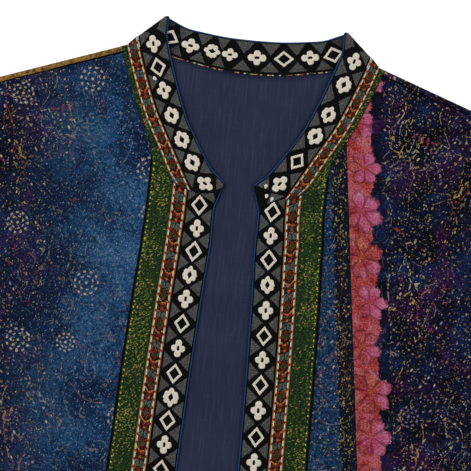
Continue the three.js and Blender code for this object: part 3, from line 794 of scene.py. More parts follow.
sideLine, armLine, edgeLine = lineThrough(sideSeam), lineThrough(armhole), lineThrough(frontEdge)
sideShare = 10 / 18  # the share of the rows that lies below the underarm
foldRadius = (frontRest + neckLift["height"] - backMiddle) / 2
shoulderAngle = math.atan(jacket["shoulderSlope"])
foldInset = (foldRadius + cloth["body"] / 2) / math.cos(shoulderAngle)
shoulderHalf = jacket["shoulderTip"][0]
backTop = [row[:2] for row in reversed(collarBack)] + [
    (across, shoulderDown(across) + foldInset) for across in (107, 150, 195)] + [jacket["shoulderTip"]]


def outerEdge(t):
    if t <= sideShare:
        return sideLine(t / sideShare * (len(sideSeam) - 1))
    return armLine((t - sideShare) / (1 - sideShare) * (len(armhole) - 1))


def topOfBack(across):
    last = len(backTop) - 2
    k = next((k for k in range(last) if backTop[k + 1][0] >= across), last)
    a, b = backTop[k], backTop[k + 1]
    return a[1] + (b[1] - a[1]) * (across - a[0]) / (b[0] - a[0])


def backWall(name, height, thickness, insetSide, insetHem, folds, step):
    half = jacket["hemHalfWidth"]
    columns = sorted({round(s * shoulderHalf * k, 4) for s in (1, -1) for k in shares(shoulderHalf, step)})
    rows, cut = [], []
    for t in shares(runs["back"], step):
        edge = outerEdge(t)
        straight = between((half, jacket["length"]), jacket["shoulderTip"], t)
        row, places = [], []
        for column in columns:
            side, across = (1 if column >= 0 else -1), abs(column)
            share = across / shoulderHalf
            low = (half * share, jacket["length"] - insetHem)
            high = (across, topOfBack(across) + cloth["gap"])
            pull = share ** 3
            x, y = between(low, high, t)
            x += (edge.x - straight[0]) * pull - insetSide * pull * (1 - t ** 4)
            y += (edge.y - straight[1]) * pull
            row.append(place(side, x, y, height + foldsAt(folds, 1, side * x, y)))
            places.append((side * x * mm, y * mm))
        rows.append(row)
        cut.append(places)
    return wall(name, rows, cut, thickness)


# the back's cloth rolled over one shoulder to its seam on the front
def shoulderRoll(side):
    out = (math.sin(shoulderAngle), -math.cos(shoulderAngle))
    turns = [math.pi * k / 14 for k in range(15)]
    profile = [(-cloth["gap"] - 0.1, backMiddle)]
    profile += [(foldRadius * math.sin(a), backMiddle + foldRadius * (1 - math.cos(a))) for a in turns]
    end = foldRadius + cloth["body"] / 2 - jacket["shoulderReturn"]
    profile += [(end * k / 3, backMiddle + 2 * foldRadius) for k in (1, 2, 3)]
    rows, cut = [], []
    first, last = jacket["shoulderStart"][0], shoulderHalf - 1.3
    for t in shares(132, 4):
        across = first + (last - first) * t
        down = shoulderDown(across) + foldInset
        rows.append([place(side, across + out[0] * reach, down + out[1] * reach, height)
                     for reach, height in profile])
        cut.append([(side * across * mm, (down - length) * mm) for length in lengthsAlong(profile)])
    return wall("roll", rows, cut, cloth["body"])


lay("back", [backWall("back", backMiddle, cloth["body"], 0, 0, [], 6), shoulderRoll(1), shoulderRoll(-1)],
    "print_back", "back_panel", flat=(0.59, 0.68), area=0.346, rests_on=["floor"])
liningWall = backWall(
    "lining", liningMiddle, cloth["lining"], jacket["liningInset"], jacket["hemTurn"], liningFolds, 5)
lay("lining", [liningWall], "lining", "back_lining", flat=(0.53, 0.65), area=0.30, rests_on=["back"])
print("back and lining laid")

neckSeam = [row[:2] for row in collarFront[2:]]
neckSeamTop = (collarFront[1][0], jacket["shoulderStart"][1] + jacket["shoulderReturn"] + cloth["gap"])
seamBelow = (jacket["shoulderReturn"] + cloth["gap"]) / math.cos(shoulderAngle)
frontTopOuter = (shoulderHalf - 0.15, shoulderDown(shoulderHalf) + seamBelow)


# how much further out the front edge lies than the plain solid's at this height
def shifted(side, down):
    return edgeShift[side] * smooth((down - 156) / 32)


# how much closer the bands lie to the front edge at this height
def drawnIn(side, down):
    return topIn[side] * (1 - smooth((down - 160) / 40))


def frontWall(side):
    up = [(x + shifted(side, y), y) for x, y in spread(frontEdge[::-1], 130)[:-1]]
    inner = up + spread(movedOut([neckSeamTop] + neckSeam, cloth["gap"])[::-1], 46)
    rows, cut = [], []
    for k, start in enumerate(inner):
        end = Vector(frontTopOuter) if k == len(inner) - 1 else outerEdge(k / (len(inner) - 1) * 0.994)
        line = [between(start, end, share) for share in shares(runs["front"], 4)]
        rows.append([place(side, x, y, frontMiddle(side, x, y)) for x, y in line])
        cut.append([(x * mm, y * mm) for x, y in line])
    return wall("front", rows, cut, cloth["body"])


for side, hand in hands.items():
    lay("front" + hand.title(), [frontWall(side)], "print_" + hand, "front_" + hand,
        flat=(0.27, 0.66), area=0.1475, rests_on=["lining"])
print("fronts laid")


# Sleeves: flattened tubes, the print running through both walls

sleeve = {
    "angle": 45, "underSeam": 395, "cuff": 125, "headBulge": 15, "hollow": 0.8, "swell": 0.9,
    "waves": (9, 4), "underRadius": 0.95, "cuffRadii": (1.3, 1.7), "headEase": 6,
}
axis = (math.cos(math.radians(sleeve["angle"])), math.sin(math.radians(sleeve["angle"])))
cuffUnder = tuple(start + sleeve["underSeam"] * part for start, part in zip(jacket["underarm"], axis))
cuffTop = (cuffUnder[0] + sleeve["cuff"] * axis[1], cuffUnder[1] - sleeve["cuff"] * axis[0])


def sleeveWall(side):
    columns = 36
    head = movedOut(spread(armhole, columns)[::-1], 0.4)[::-1]
    turns = [math.pi * k / 8 for k in range(1, 8)]
    rows, cut = [], []
    for t in shares(sleeve["underSeam"], 5):
        rounding = 27 / 4 * t * (1 - t) ** 2
        line = []
        for j, p in enumerate(head):
            w = j / columns
            q = between(p, between(cuffUnder, cuffTop, w), t)
            bulge = sleeve["headBulge"] * rounding * w * w
            line.append((q[0] + axis[1] * bulge, q[1] - axis[0] * bulge))
        underRadius = sleeve["underRadius"] + (sleeve["cuffRadii"][0] - sleeve["underRadius"]) * t
        topRadius = foldRadius + (sleeve["cuffRadii"][1] - foldRadius) * smooth(t)

        def upper(w):
            x, y = line[round(w * columns)]
            wave = math.sin(sleeve["waves"][0] * t + sleeve["waves"][1] * w) ** 2
            soft = (underRadius + (topRadius - underRadius) * w) * 2
            soft += math.sin(math.pi * w) * (sleeve["hollow"] + sleeve["swell"] * wave)
            soft += foldsAt(sleeveFolds, side, x, y) * math.sin(math.pi * w) ** 0.5
            atHead = frontMiddle(side, x, y) - backMiddle
            return atHead + (soft - atHead) * smooth(t * sleeve["headEase"])

        def turnRound(k, inside, low, high, radius):
            end, before = line[k], line[inside]
            length = math.dist(end, before)
            out = ((end[0] - before[0]) / length, (end[1] - before[1]) / length)
            for a in turns:
                reach, height = radius * math.sin(a), backMiddle + low + (high - low) / 2 * (1 - math.cos(a))
                yield end[0] + out[0] * reach, end[1] + out[1] * reach, height

        ring = list(turnRound(columns, columns - 1, 0, upper(1), topRadius))
        ring += [(*line[j], backMiddle + upper(j / columns)) for j in range(columns, -1, -1)]
        ring += list(turnRound(0, 1, upper(0), 0, underRadius))
        ring += [(*p, backMiddle) for p in line]
        rows.append([place(side, *p) for p in ring])
        cut.append([(p[0] * mm, p[1] * mm) for p in ring + ring[:1]])
    return wall("sleeve", rows, cut, cloth["body"], ring=True)


for side, hand in hands.items():
    lay("sleeve" + hand.title(), [sleeveWall(side)], "print_" + hand, "sleeve_" + hand,
        flat=(0.42, 0.41), area=0.140, rests_on=["floor"])
print("sleeves laid")


# Bands on the fronts

edgeStart = frontEdge[0][0]
collarEnds = [(21.3, 165.2), (31.8, 159.7), (41.4, 154.6), (42.6, 156.2)]


def bandHeight(side, across, down):
    return frontMiddle(side, across, down) + bandRise


def mitreDown(across):
    return frontEdge[0][1] + bands["mitreSlope"] * (across - edgeStart)


def edgeAcross(down):
    if down <= frontEdge[0][1]:
        return edgeStart
    low, high = 0.0, len(frontEdge) - 1.0
    for step in range(24):
        middle = (low + high) / 2
        low, high = (middle, high) if edgeLine(middle).y < down else (low, middle)
    return edgeLine(low).x


edgeTable = [edgeAcross(down) for down in range(0, jacket["length"] + 2)]


def edgeNear(down):
    k = min(int(down), jacket["length"])
    return edgeTable[k] + (edgeTable[k + 1] - edgeTable[k]) * (down - k)


def collarEndDown(across):
    for a, b in zip(collarEnds, collarEnds[1:]):
        if across < b[0]:
            return a[1] + (b[1] - a[1]) * (across - a[0]) / (b[0] - a[0])
    return mitreDown(across) + cloth["gap"]


# a straight band between two distances from the front edge, its top end mitred
def straightBand(side, start, end, rowShares, columnShares):
    rows = []
    for r in rowShares:
        row = []
        for c in columnShares:
            off = start + (end - start) * c
            share = c if start == 0 else 1
            top = collarEndDown(edgeStart + off - topIn[side] * share)
            down = top + (jacket["length"] - top) * r
            near = shifted(side, down) * (1 - c) if start == 0 else 0
            row.append((edgeNear(down) + off + near - drawnIn(side, down) * share, down))
        rows.append(row)
    return rows


def bandWall(name, side, flatRows, cut):
    rows = [[place(side, x, y, bandHeight(side, x, y)) for x, y in row] for row in flatRows]
    return wall(name, rows, cut, cloth["ribbon"])


# lays a band, whose slot and node are named alike, on its front
def layBand(name, side, mesh, slot, node, flat, area):
    hand = hands[side]
    front = "front" + hand.title()
    lay(name + hand.title(), [mesh], slot, node + "_" + hand, flat=flat, area=area, rests_on=[front])


neckLine = [collarFront[0][:2]] + neckSeam[:8]


def besideNeck(distance):
    line = movedOut(neckLine, distance)
    p, following = line[0], line[1]
    above = shoulderDown(p[0]) + 0.8 - p[1]
    gained = following[1] - p[1] - jacket["shoulderSlope"] * (following[0] - p[0])
    return [between(p, following, max(0, above / gained))] + line[1:]


# the points of one band between two lines, cut into rows of about one length
def betweenLines(inner, outer, step, columns):
    innerLine, outerLine = lineThrough(inner), lineThrough(outer)
    rows = []
    for k in range(len(inner) - 1):
        length = max(math.dist(inner[k], inner[k + 1]), math.dist(outer[k], outer[k + 1]))
        count = max(1, round(length / step))
        for i in range(count + (k == len(inner) - 2)):
            a, b = innerLine(k + i / count), outerLine(k + i / count)
            rows.append([between(a, b, c) for c in columns])
    return rows


# Wide ribbon: where each motif's middle lies down the front, and which motif it is:
# 0 a flower, 1 a lozenge ring, 2 a lobed ring, 3 a scrap

wideRibbons = {
    1: {
        "downs": [167.2, 188.7, 210.4, 233.1, 255.9, 278.9, 300.5, 322.9, 346.1, 370, 393],
        "motifs": [1, 0, 1, 2, 0, 1, 0, 1, 0, 1, 0], "pitch": 22.6,
    },
    -1: {
        "downs": [167.1, 188.2, 208.9, 230.4, 252.2, 274.5, 297, 319.8, 341.4, 362.3, 384.3, 406.6],
        "motifs": [1, 0, 1, 2, 0, 1, 0, 1, 2, 1, 0, 1], "pitch": 21.8,
    },
}
upwards = Vector((0, 0, 1))
motifsOn = {1: [], -1: [], 0: []}  # on each front and on the collar: place, face, direction, motif and size


# counts motifs along a line: whole at each motif's middle, and between them in proportion
def counted(value, middles):
    k = next((k for k in range(len(middles) - 2) if value < middles[k + 1]), len(middles) - 2)
    return k + (value - middles[k]) / (middles[k + 1] - middles[k])


for side in hands:
    plan = wideRibbons[side]
    while plan["downs"][-1] + plan["pitch"] < jacket["length"] + 12:
        plan["downs"].append(plan["downs"][-1] + plan["pitch"])
        plan["motifs"].append(plan["motifs"][len(plan["motifs"]) % 8])
    columns = shares(bands["wide"], 2.2, 0.9)
    rows = straightBand(side, 0, bands["wide"], shares(runs["bands"], 2.6, 0.9), columns)
    cut = [[(2 * c - 1, counted(y, plan["downs"])) for c, (x, y) in zip(columns, row)] for row in rows]
    layBand("wideRibbon", side, bandWall("wideRibbon", side, rows, cut),
            "wide_ribbon", "wide_ribbon", (0.027, 0.53), 0.0140)
    for down, kind in zip(plan["downs"], plan["motifs"]):
        if down > jacket["length"] - 9:
            break
        near = (shifted(side, down) - drawnIn(side, down) + bands["wide"]) / 2
        low, high = (place(side, edgeNear(d) + near, d, 0) for d in (down - 4, down + 4))
        across = edgeNear(down) + near - 0.3
        at = place(side, across, down, bandHeight(side, across, down) + cloth["ribbon"] / 2 - 0.04)
        motifsOn[side].append((at, upwards, low - high, kind, 1.0))
print("wide ribbons laid")


# Narrow ribbons: a chart of threads, one letter for each, mirrored about its last column

threads = {
    "w": ink("ebe1cd"), "g": ink("b98a4c"), "o": ink("ad4e29"), "r": ink("84251a"), "d": ink("551812"),
    "b": ink("5f6563"), "k": ink("14120f"), "n": ink("20401b"), "y": ink("cf8f4e"),
}
ribbonChart = [
    "rnkrk", "rkkrn", "rnrnn", "rnnnn", "krnnn", "kkrnn", "kdkrn", "kkkdr", "ykkkr", "oykkk",
    "koykr", "kkooy", "krkoo", "kdrko", "kkdrk", "kkkdr", "nkkro", "nnroy", "nkkro", "kkkrk",
    "kbbkn", "bbbbk", "bnnbk", "bnbbn", "bnbbn", "bbnbk", "kbbkn", "okkkr", "rokrn",
]
cordChart = ["gw", "yw", "gw", "yw", "gw", "go", "or", "yo"]
strayThreads = "nkbrdn"
narrow = {
    "threads": 13, "threadLength": 0.92, "rows": 580, "stray": 0.2, "uneven": (0.7, 1.15), "mitreReturn": 3,
}


def threadAt(column, row):
    fromEdge = min(column, narrow["threads"] - 1 - column)
    if fromEdge < 2:
        return cordChart[(row + 3 * (column > 6)) % len(cordChart)][fromEdge]
    return ribbonChart[row % len(ribbonChart)][fromEdge - 2]


# a ribbon whose cut counts its threads, each coloured a little unevenly
def wovenRibbon(name, side, rows, columns, seed):
    cut = [[(c * narrow["threads"], k) for c in columns] for k in range(len(rows))]
    mesh = bandWall(name, side, rows, cut)
    rng = random.Random(seed)
    shades, colours = {}, []
    places = mesh.uv_layers["cut"].data
    for face in mesh.polygons:
        count = len(face.loop_indices)
        u, v = (sum(places[k].uv[part] for k in face.loop_indices) / count for part in (0, 1))
        cell = (min(max(int(u), 0), narrow["threads"] - 1), int(v + 1000))
        if cell not in shades:
            stray = rng.random() < narrow["stray"] and 2 <= cell[0] <= narrow["threads"] - 3
            dye = rng.choice(strayThreads) if stray else threadAt(*cell)
            shades[cell] = [value * rng.uniform(*narrow["uneven"]) for value in threads[dye][:3]] + [1.0]
        colours += shades[cell] * count
    mesh.color_attributes.new("thread", "FLOAT_COLOR", "CORNER").data.foreach_set("color", colours)
    return mesh


for side in hands:
    columns = [k / narrow["threads"] for k in range(narrow["threads"] + 1)]
    end = bands["wide"] + bands["narrow"]
    rowShares = [k / narrow["rows"] for k in range(narrow["rows"] + 1)]
    rows = straightBand(side, bands["wide"] + cloth["gap"], end, rowShares, columns)
    layBand("narrowRibbon", side, wovenRibbon("narrowRibbon", side, rows, columns, 11 + side),
            "narrow_ribbon", "narrow_ribbon", (0.0135, 0.54), 0.0070)

    outer, inner = besideNeck(bands["neck"]), movedOut(neckLine, cloth["gap"])
    lowInner = neckLine[-1][0] + cloth["gap"]
    lowOuter = edgeStart + end - narrow["mitreReturn"] - topIn[side]
    inner[-1] = (lowInner, mitreDown(lowInner) - cloth["gap"])
    outer[-1] = (lowOuter, mitreDown(lowOuter) - cloth["gap"])
    rows = betweenLines(inner, outer, narrow["threadLength"], columns)
    layBand("neckRibbon", side, wovenRibbon("neckRibbon", side, rows, columns, 21 + side),
            "narrow_ribbon", "neck_ribbon", (0.012, 0.15), 0.0016)
print("narrow ribbons woven")


# Green bands, each with its strip beside the neck ribbon

def greenRows(side, columns):
    start = bands["wide"] + bands["narrow"] + cloth["gap"]
    end = bands["wide"] + bands["narrow"] + bands["green"]
    outerAcross, cornerAcross = edgeStart + end - topIn[side], edgeStart + start - topIn[side]
    inner, outer = besideNeck(bands["neck"] + cloth["gap"]), besideNeck(bands["neck"] + bands["neckStrip"])
    corner = (cornerAcross, mitreDown(cornerAcross) + 2 * cloth["gap"])
    rowShares = [0.04 + 0.96 * (1 - r) for r in shares(runs["bands"], 3, 1)]
    rows = straightBand(side, start, end, rowShares, columns)
    turn = [(rows[-1][0], rows[-1][-1]), (corner, (outerAcross, corner[1])),
            (inner[7], (outerAcross, inner[7][1] - 6)), (inner[6], (outerAcross, outer[5][1] + 9)),
            (inner[5], outer[5])]
    for (a, b), (c, d) in zip(turn, turn[1:]):
        for k in range(1, 6):
            p, q = between(a, c, k / 5), between(b, d, k / 5)
            rows.append([between(p, q, share) for share in columns])
    return rows + betweenLines(inner[5::-1], outer[5::-1], 3, columns)[1:]


for side in hands:
    rows, cut = greenRows(side, shares(bands["green"], 3, 0.9)), []
    for row in rows:
        # the strip beside the neck has no black line, so its places start past that
        past = 2.4 * smooth((17 - math.dist(row[0], row[-1])) / 5)
        cut.append([((math.dist(p, row[-1]) + past) * mm, p[1] * mm) for p in row])
    layBand("greenBand", side, bandWall("greenBand", side, rows, cut),
            "green_band", "green_band", (0.0225, 0.69), 0.0125)
print("green bands laid")


# Collar: one band of two layers, folded over at each shoulder

def finer(rows, each):
    lines = [lineThrough([row[k] for row in rows]) for k in (0, 1)]
    return [tuple(line(k / each) for line in lines) for k in range((len(rows) - 1) * each + 1)]


def collarRows(backHeight, frontHeight):
    radius = (frontHeight + neckLift["height"] - backHeight) / 2
    outermost = (collarLevels["frontOuter"] + neckLift["height"] - collarLevels["backOuter"]) / 2
    inset = outermost + cloth["collar"] / 2
    seam, top = collarFront[0][:2], collarFront[0][2:]
    length = math.dist(seam, top)
    outs = ((0.299, -0.954), ((seam[1] - top[1]) / length, -(seam[0] - top[0]) / length))

    def half(side):
        front = [[place(side, x, y, frontHeight + lift(x, y)) for x, y in (row[:2], row[2:])]
                 for row in reversed(collarFront[1:])]
        fold = []
        for k in range(13):
            turn = math.pi * k / 12
            reach, height = radius * math.sin(turn) - inset, backHeight + radius * (1 + math.cos(turn))
            fold.append([place(side, x + out[0] * reach, y + out[1] * reach, height)
                         for (x, y), out in zip((seam, top), outs)])
        back = [[place(side, x, y, backHeight) for x, y in (row[:2], row[2:])] for row in collarBack]
        return finer(front + fold[:1], 6)[:-1] + fold + finer(fold[-1:] + back, 6)[1:]

    return half(1) + half(-1)[-2::-1]


# motif middles along the collar: from each front end, and from the middle of the back towards the left
collarMotifs = {
    "pitch": 22.5, "whole": 18.4,  # motifs closer to each other than this are smaller
    "left": [24.0, 49.6, 77.3, 100.0, 130.1, 152.9], "leftMotifs": [0, 1, 2, 2, 2, 0],
    "right": [15.3, 37.4, 60.1, 83.6, 107.3, 128.5, 149.9], "rightMotifs": [0, 2, 2, 2, 0, 1, 0],
    "back": [71.0, 49.9, 26.2, 1.9, -22.6, -39.0, -59.0, -79.5], "backMotifs": [1, 0, 1, 0, 0, 2, 0, 1],
}


# fills the hidden stretches before, between and after the places that are known
def filled(middles, kinds, length, pitch):
    gaps = [k for k in range(len(middles) - 1) if middles[k + 1] - middles[k] > 1.7 * pitch]
    for k in reversed(gaps):
        count = round((middles[k + 1] - middles[k]) / pitch)
        step = (middles[k + 1] - middles[k]) / count
        middles[k + 1:k + 1] = [middles[k] + step * i for i in range(1, count)]
        kinds[k + 1:k + 1] = [i % 3 for i in range(1, count)]
    while middles[0] > 0:
        middles.insert(0, middles[0] - pitch)
        kinds.insert(0, len(middles) % 3)
    while middles[-1] < length:
        middles.append(middles[-1] + pitch)
        kinds.append(len(middles) % 3)
    return middles, kinds


# the outer layer, outwards 1, shows its face upwards along the fronts, and the inner one, -1, behind the neck
def collarWall(name, rows, thickness, outwards):
    m, columns = collarMotifs, shares(bands["collar"], 2.2, 0.9)
    middles = [a.lerp(b, 0.5) for a, b in rows]
    lengths = [length / mm for length in lengthsAlong(middles)]
    whole = lengths[-1]
    if outwards == 1:
        known = m["left"] + [whole - d for d in reversed(m["right"])]
        kinds = m["leftMotifs"] + m["rightMotifs"][::-1]
    else:
        known, kinds = [whole / 2 - d for d in m["back"]], list(m["backMotifs"])
    known, kinds = filled(known, kinds, whole, m["pitch"])
    grid = [[a.lerp(b, c) for c in columns] for a, b in rows]
    cut = [[(1 - 2 * c, counted(s, known)) for c in columns] for s in lengths]
    foldAt = len(collarFront) * 6
    for before, d, after, kind in zip([-99] + known, known, known[1:] + [whole + 99], kinds):
        if not 8 < d < whole - 8:
            continue
        k = next(k for k in range(len(lengths) - 1) if lengths[k + 1] >= d)
        if min(abs(k - foldAt), abs(len(rows) - 1 - k - foldAt)) <= 9:
            continue
        at = middles[k].lerp(middles[k + 1], (d - lengths[k]) / (lengths[k + 1] - lengths[k]))
        along = (middles[k + 1] - middles[k]).normalized()
        face = along.cross((rows[k][1] - rows[k][0]).normalized()).normalized() * outwards
        size = min(1.0, min(d - before, after - d) / m["whole"])
        motifsOn[0].append((at + face * (thickness / 2 - 0.04) * mm, face, along, kind, size))
    return wall(name, grid, cut, thickness)


outerRows = collarRows(collarLevels["backOuter"], collarLevels["frontOuter"])
innerRows = collarRows(collarLevels["backInner"], collarLevels["frontInner"])
lay("collarOuter", [collarWall("collarOuter", outerRows, cloth["collar"], 1)], "wide_ribbon", "collar_outer",
    flat=(0.026, 0.53), area=0.0134, rests_on=["lining"])
# the inner layer takes the wide ribbon finish with painted shade towards the shoulder folds
lay("collarInner", [collarWall("collarInner", innerRows, cloth["facing"], -1)], "wide_ribbon", "collar_inner",
    finish="wideShaded", flat=(0.026, 0.53), area=0.0134, rests_on=["lining"])
print("collar folded")


# Piping along both front edges and the collar's top

piping = {"radius": 0.68, "sides": 10, "sewnIn": 0.06, "above": 0.12}


def pipingPath():
    reach = piping["radius"] + cloth["gap"]
    height = frontRest + cloth["ribbon"] / 2 + piping["above"]

    def front(side):
        return [(place(side, x + shifted(side, y) - reach, y, height + lift(x, y)), Vector((-side, 0, 0)))
                for x, y in spread(frontEdge, 150)[4:]]

    top = []
    for (seam, edge), (innerSeam, innerEdge) in zip(outerRows, innerRows):
        out = (edge - seam).normalized()
        top.append((edge.lerp(innerEdge, 0.5) + out * (piping["radius"] - piping["sewnIn"]) * mm, out))
    return front(1)[::-1] + top + front(-1)


def cordMesh(name, path, radius, sides):
    rows, cut, along = [], [], lengthsAlong([at for at, out in path])
    for k, (at, out) in enumerate(path):
        before, after = path[max(0, k - 1)][0], path[min(len(path) - 1, k + 1)][0]
        up = (after - before).cross(out).normalized()
        ring = [2 * math.pi * j / sides for j in range(sides)]
        rows.append([at + (out * math.cos(a) + up * math.sin(a)) * radius * mm for a in ring])
        cut.append([(j / sides, along[k] / mm) for j in range(sides + 1)])
    vertices = [p for row in rows for p in row] + [path[0][0], path[-1][0]]
    faces, places = [], []
    for i in range(len(rows) - 1):
        for j in range(sides):
            a, b = i * sides + j, i * sides + (j + 1) % sides
            faces.append((a, b, b + sides, a + sides))
            places.append([cut[i][j], cut[i][j + 1], cut[i + 1][j + 1], cut[i + 1][j]])
    end = (len(rows) - 1) * sides
    for j in range(sides):
        faces.append(((j + 1) % sides, j, len(vertices) - 2))
        faces.append((end + j, end + (j + 1) % sides, len(vertices) - 1))
        places += [[cut[0][j + 1], cut[0][j], cut[0][j]], [cut[-1][j], cut[-1][j + 1], cut[-1][j]]]
    a, b, c = (vertices[k] for k in faces[0][:3])
    if (b - a).cross(c - a).dot(a - path[0][0]) < 0:  # inside out
        faces, places = [face[::-1] for face in faces], [place[::-1] for place in places]
    return newMesh(name, vertices, faces, [uv for place in places for uv in place])


lay("piping", [cordMesh("piping", pipingPath(), piping["radius"], piping["sides"])], "piping", "piping")
print("piping sewn on")


# Geometry Nodes: what repeats along a line or over a band

class Tree:
    def __init__(self, name, **inputs):
        self.tree = bpy.data.node_groups.new(name, "GeometryNodeTree")
        faces = self.tree.interface
        for label, kind in dict({"Geometry": "Geometry"}, **inputs, Seed="Int", Material="Material").items():
            faces.new_socket(label, in_out="INPUT", socket_type="NodeSocket" + kind)
        faces.new_socket("Geometry", in_out="OUTPUT", socket_type="NodeSocketGeometry")
        self.given = self.tree.nodes.new("NodeGroupInput").outputs

    def add(self, kind, inputs, **settings):
        node = self.tree.nodes.new(kind)
        for name, value in settings.items():
            setattr(node, name, value)
        for name, value in inputs.items():
            if isinstance(value, bpy.types.NodeSocket):
                self.tree.links.new(value, node.inputs[name])
            else:
                node.inputs[name].default_value = value
        return node.outputs

    def chance(self, low, high):
        inputs = {2: low, 3: high, "Seed": self.given["Seed"]}
        return self.add("FunctionNodeRandomValue", inputs, data_type="FLOAT")[1]

    def math(self, operation, a, b):
        return self.add("ShaderNodeMath", {0: a, 1: b}, operation=operation)[0]

    def named(self, name, kind="FLOAT_VECTOR"):
        return self.add("GeometryNodeInputNamedAttribute", {"Name": name}, data_type=kind)[0]

    def turned(self, up, along, second):
        inputs = {"Primary Axis": up, "Secondary Axis": along}
        return self.add("FunctionNodeAxesToRotation", inputs, primary_axis="Z", secondary_axis=second)[0]

    # puts a shape on each point, with a shade of its own, and makes them plain mesh
    def strew(self, points, shape, rotation, size, **picking):
        inputs = {"Points": points, "Instance": shape, "Rotation": rotation, "Scale": size, **picking}
        put = self.add("GeometryNodeInstanceOnPoints", inputs)[0]
        inputs = {"Geometry": put, "Name": "shade", "Value": self.chance(0.0, 1.0)}
        shaded = self.add("GeometryNodeStoreNamedAttribute", inputs, data_type="FLOAT", domain="INSTANCE")[0]
        real = self.add("GeometryNodeRealizeInstances", {"Geometry": shaded})[0]
        done = self.add("GeometryNodeSetMaterial", {"Geometry": real, "Material": self.given["Material"]})[0]
        self.tree.links.new(done, self.tree.nodes.new("NodeGroupOutput").inputs[0])
        return self.tree

    def stitch(self):
        return self.add("GeometryNodeObjectInfo", {"Object": self.given["Stitch"]})["Geometry"]


def stitchTree():
    t = Tree("stitchesAlong", Pitch="Float", Stitch="Object", Uneven="Float")
    line = t.add("GeometryNodeMeshToCurve", {"Mesh": t.given["Geometry"]})[0]
    even = t.add("GeometryNodeResampleCurve", {"Curve": line, "Length": t.given["Pitch"]}, mode="LENGTH")[0]
    turn = t.turned(t.named("up"), t.add("GeometryNodeInputTangent", {})[0], "X")
    uneven = t.given["Uneven"]
    size = t.chance(t.math("SUBTRACT", 1.0, uneven), t.math("ADD", 1.0, uneven))
    return t.strew(even, t.stitch(), turn, size)


def scatterTree():
    t = Tree("flecksOver", Density="Float", Patches="Float", Stitch="Object")
    patches = t.add("ShaderNodeTexNoise", {"Scale": t.given["Patches"], "Detail": 1.0})[0]
    inputs = {"Value": patches, "From Min": 0.42, "From Max": 0.6, "To Min": 0.12, "To Max": 1.0}
    density = t.math("MULTIPLY", t.add("ShaderNodeMapRange", inputs, clamp=True)[0], t.given["Density"])
    inputs = {"Mesh": t.given["Geometry"], "Density": density, "Seed": t.given["Seed"]}
    points = t.add("GeometryNodeDistributePointsOnFaces", inputs, distribute_method="RANDOM")[0]
    swing = t.add("ShaderNodeCombineXYZ", {"Z": t.chance(-1.1, 1.1)})[0]
    return t.strew(points, t.stitch(), swing, t.chance(0.65, 1.25))


def motifTree():
    t = Tree("motifsInDiamonds", Motifs="Collection")
    inputs = {"Collection": t.given["Motifs"], "Separate Children": True, "Reset Children": True}
    motifs = t.add("GeometryNodeCollectionInfo", inputs)[0]
    size = t.math("MULTIPLY", t.chance(0.94, 1.03), t.named("size", "FLOAT"))
    picking = {"Pick Instance": True, "Instance Index": t.named("kind", "INT")}
    turn = t.turned(t.named("up"), t.named("along"), "Y")
    return t.strew(t.given["Geometry"], motifs, turn, size, **picking)


# runs a tree on a base mesh and lays the plain mesh that it makes
def grow(name, tree, base, slot, finish, **settings):
    holder = bpy.data.objects.new(name, base)
    bpy.context.scene.collection.objects.link(holder)
    modifier = holder.modifiers.new("grow", "NODES")
    modifier.node_group = tree
    sockets = {item.name: item.identifier for item in tree.interface.items_tree if item.in_out == "INPUT"}
    for label, value in dict(settings, Material=finishes[finish]).items():
        modifier[sockets[label]] = value
    graph = bpy.context.evaluated_depsgraph_get()
    mesh = bpy.data.meshes.new_from_object(holder.evaluated_get(graph), depsgraph=graph)
    holder.modifiers.remove(modifier)
    bpy.data.objects.remove(holder)
    lay(name, [mesh], slot, finish=finish)


def sewAlong(name, points, slot, finish, shape, pitch, uneven, seed):
    base = bpy.data.meshes.new("line")
    base.from_pydata(points, [(k, k + 1) for k in range(len(points) - 1)], [])
    base.attributes.new("up", "FLOAT_VECTOR", "POINT").data.foreach_set("vector", [*upwards] * len(points))
    grow(name, stitches, base, slot, finish, Pitch=pitch * mm, Stitch=shape, Uneven=uneven, Seed=seed)


# a low rounded pad on an outline, or a stroke between it and a hole: rings of points from its rim to its top
def pad(name, outline, hole, height):
    count = len(outline)
    if hole:
        stages = ((0, 0, 1), (0.22, 1, 0.5), (0.5, 0.8, 0), (0.78, 1, 0.5), (1, 0, 1))
        inner = hole
    else:
        stages = ((0, 0, 1), (0.18, 0.85, 0.75), (0.6, 1, 0.3))
        inner = [(sum(p[0] for p in outline) / count, sum(p[1] for p in outline) / count)] * count
    vertices, places, faces = [], [], []
    for inwards, rise, rim in stages:
        ring = [between(p, q, inwards) for p, q in zip(outline, inner)]
        vertices += [(x * mm, y * mm, rise * height * mm) for x, y in ring]
        places += [(rim, k / count) for k in range(count)]
    last = (len(stages) - 1) * count
    for start in range(0, last, count):
        faces += [(start + k, start + (k + 1) % count, start + count + (k + 1) % count, start + count + k)
                  for k in range(count)]
    if hole:
        faces += [(last + k, last + (k + 1) % count, (k + 1) % count, k) for k in range(count)]
    else:
        faces += [[last + k for k in range(count)], list(range(count))[::-1]]
    corners = [places[k] for face in faces for k in face]
    return bpy.data.objects.new(name, newMesh(name, vertices, faces, corners))


# the outline round several overlapping rounds, seen from the middle: each is x, y and radius
def petalOutline(petals, count, seed, uneven=0.22):
    rng = random.Random(seed)
    points = []
    for k in range(count):
        a = 2 * math.pi * k / count
        far = 0
        for x, y, radius in petals:
            along, off = x * math.cos(a) + y * math.sin(a), x * math.sin(a) - y * math.cos(a)
            if abs(off) < radius:
                far = max(far, along + math.sqrt(radius * radius - off * off))
        far += rng.uniform(-uneven, uneven)
        points.append((far * math.cos(a), far * math.sin(a)))
    return points


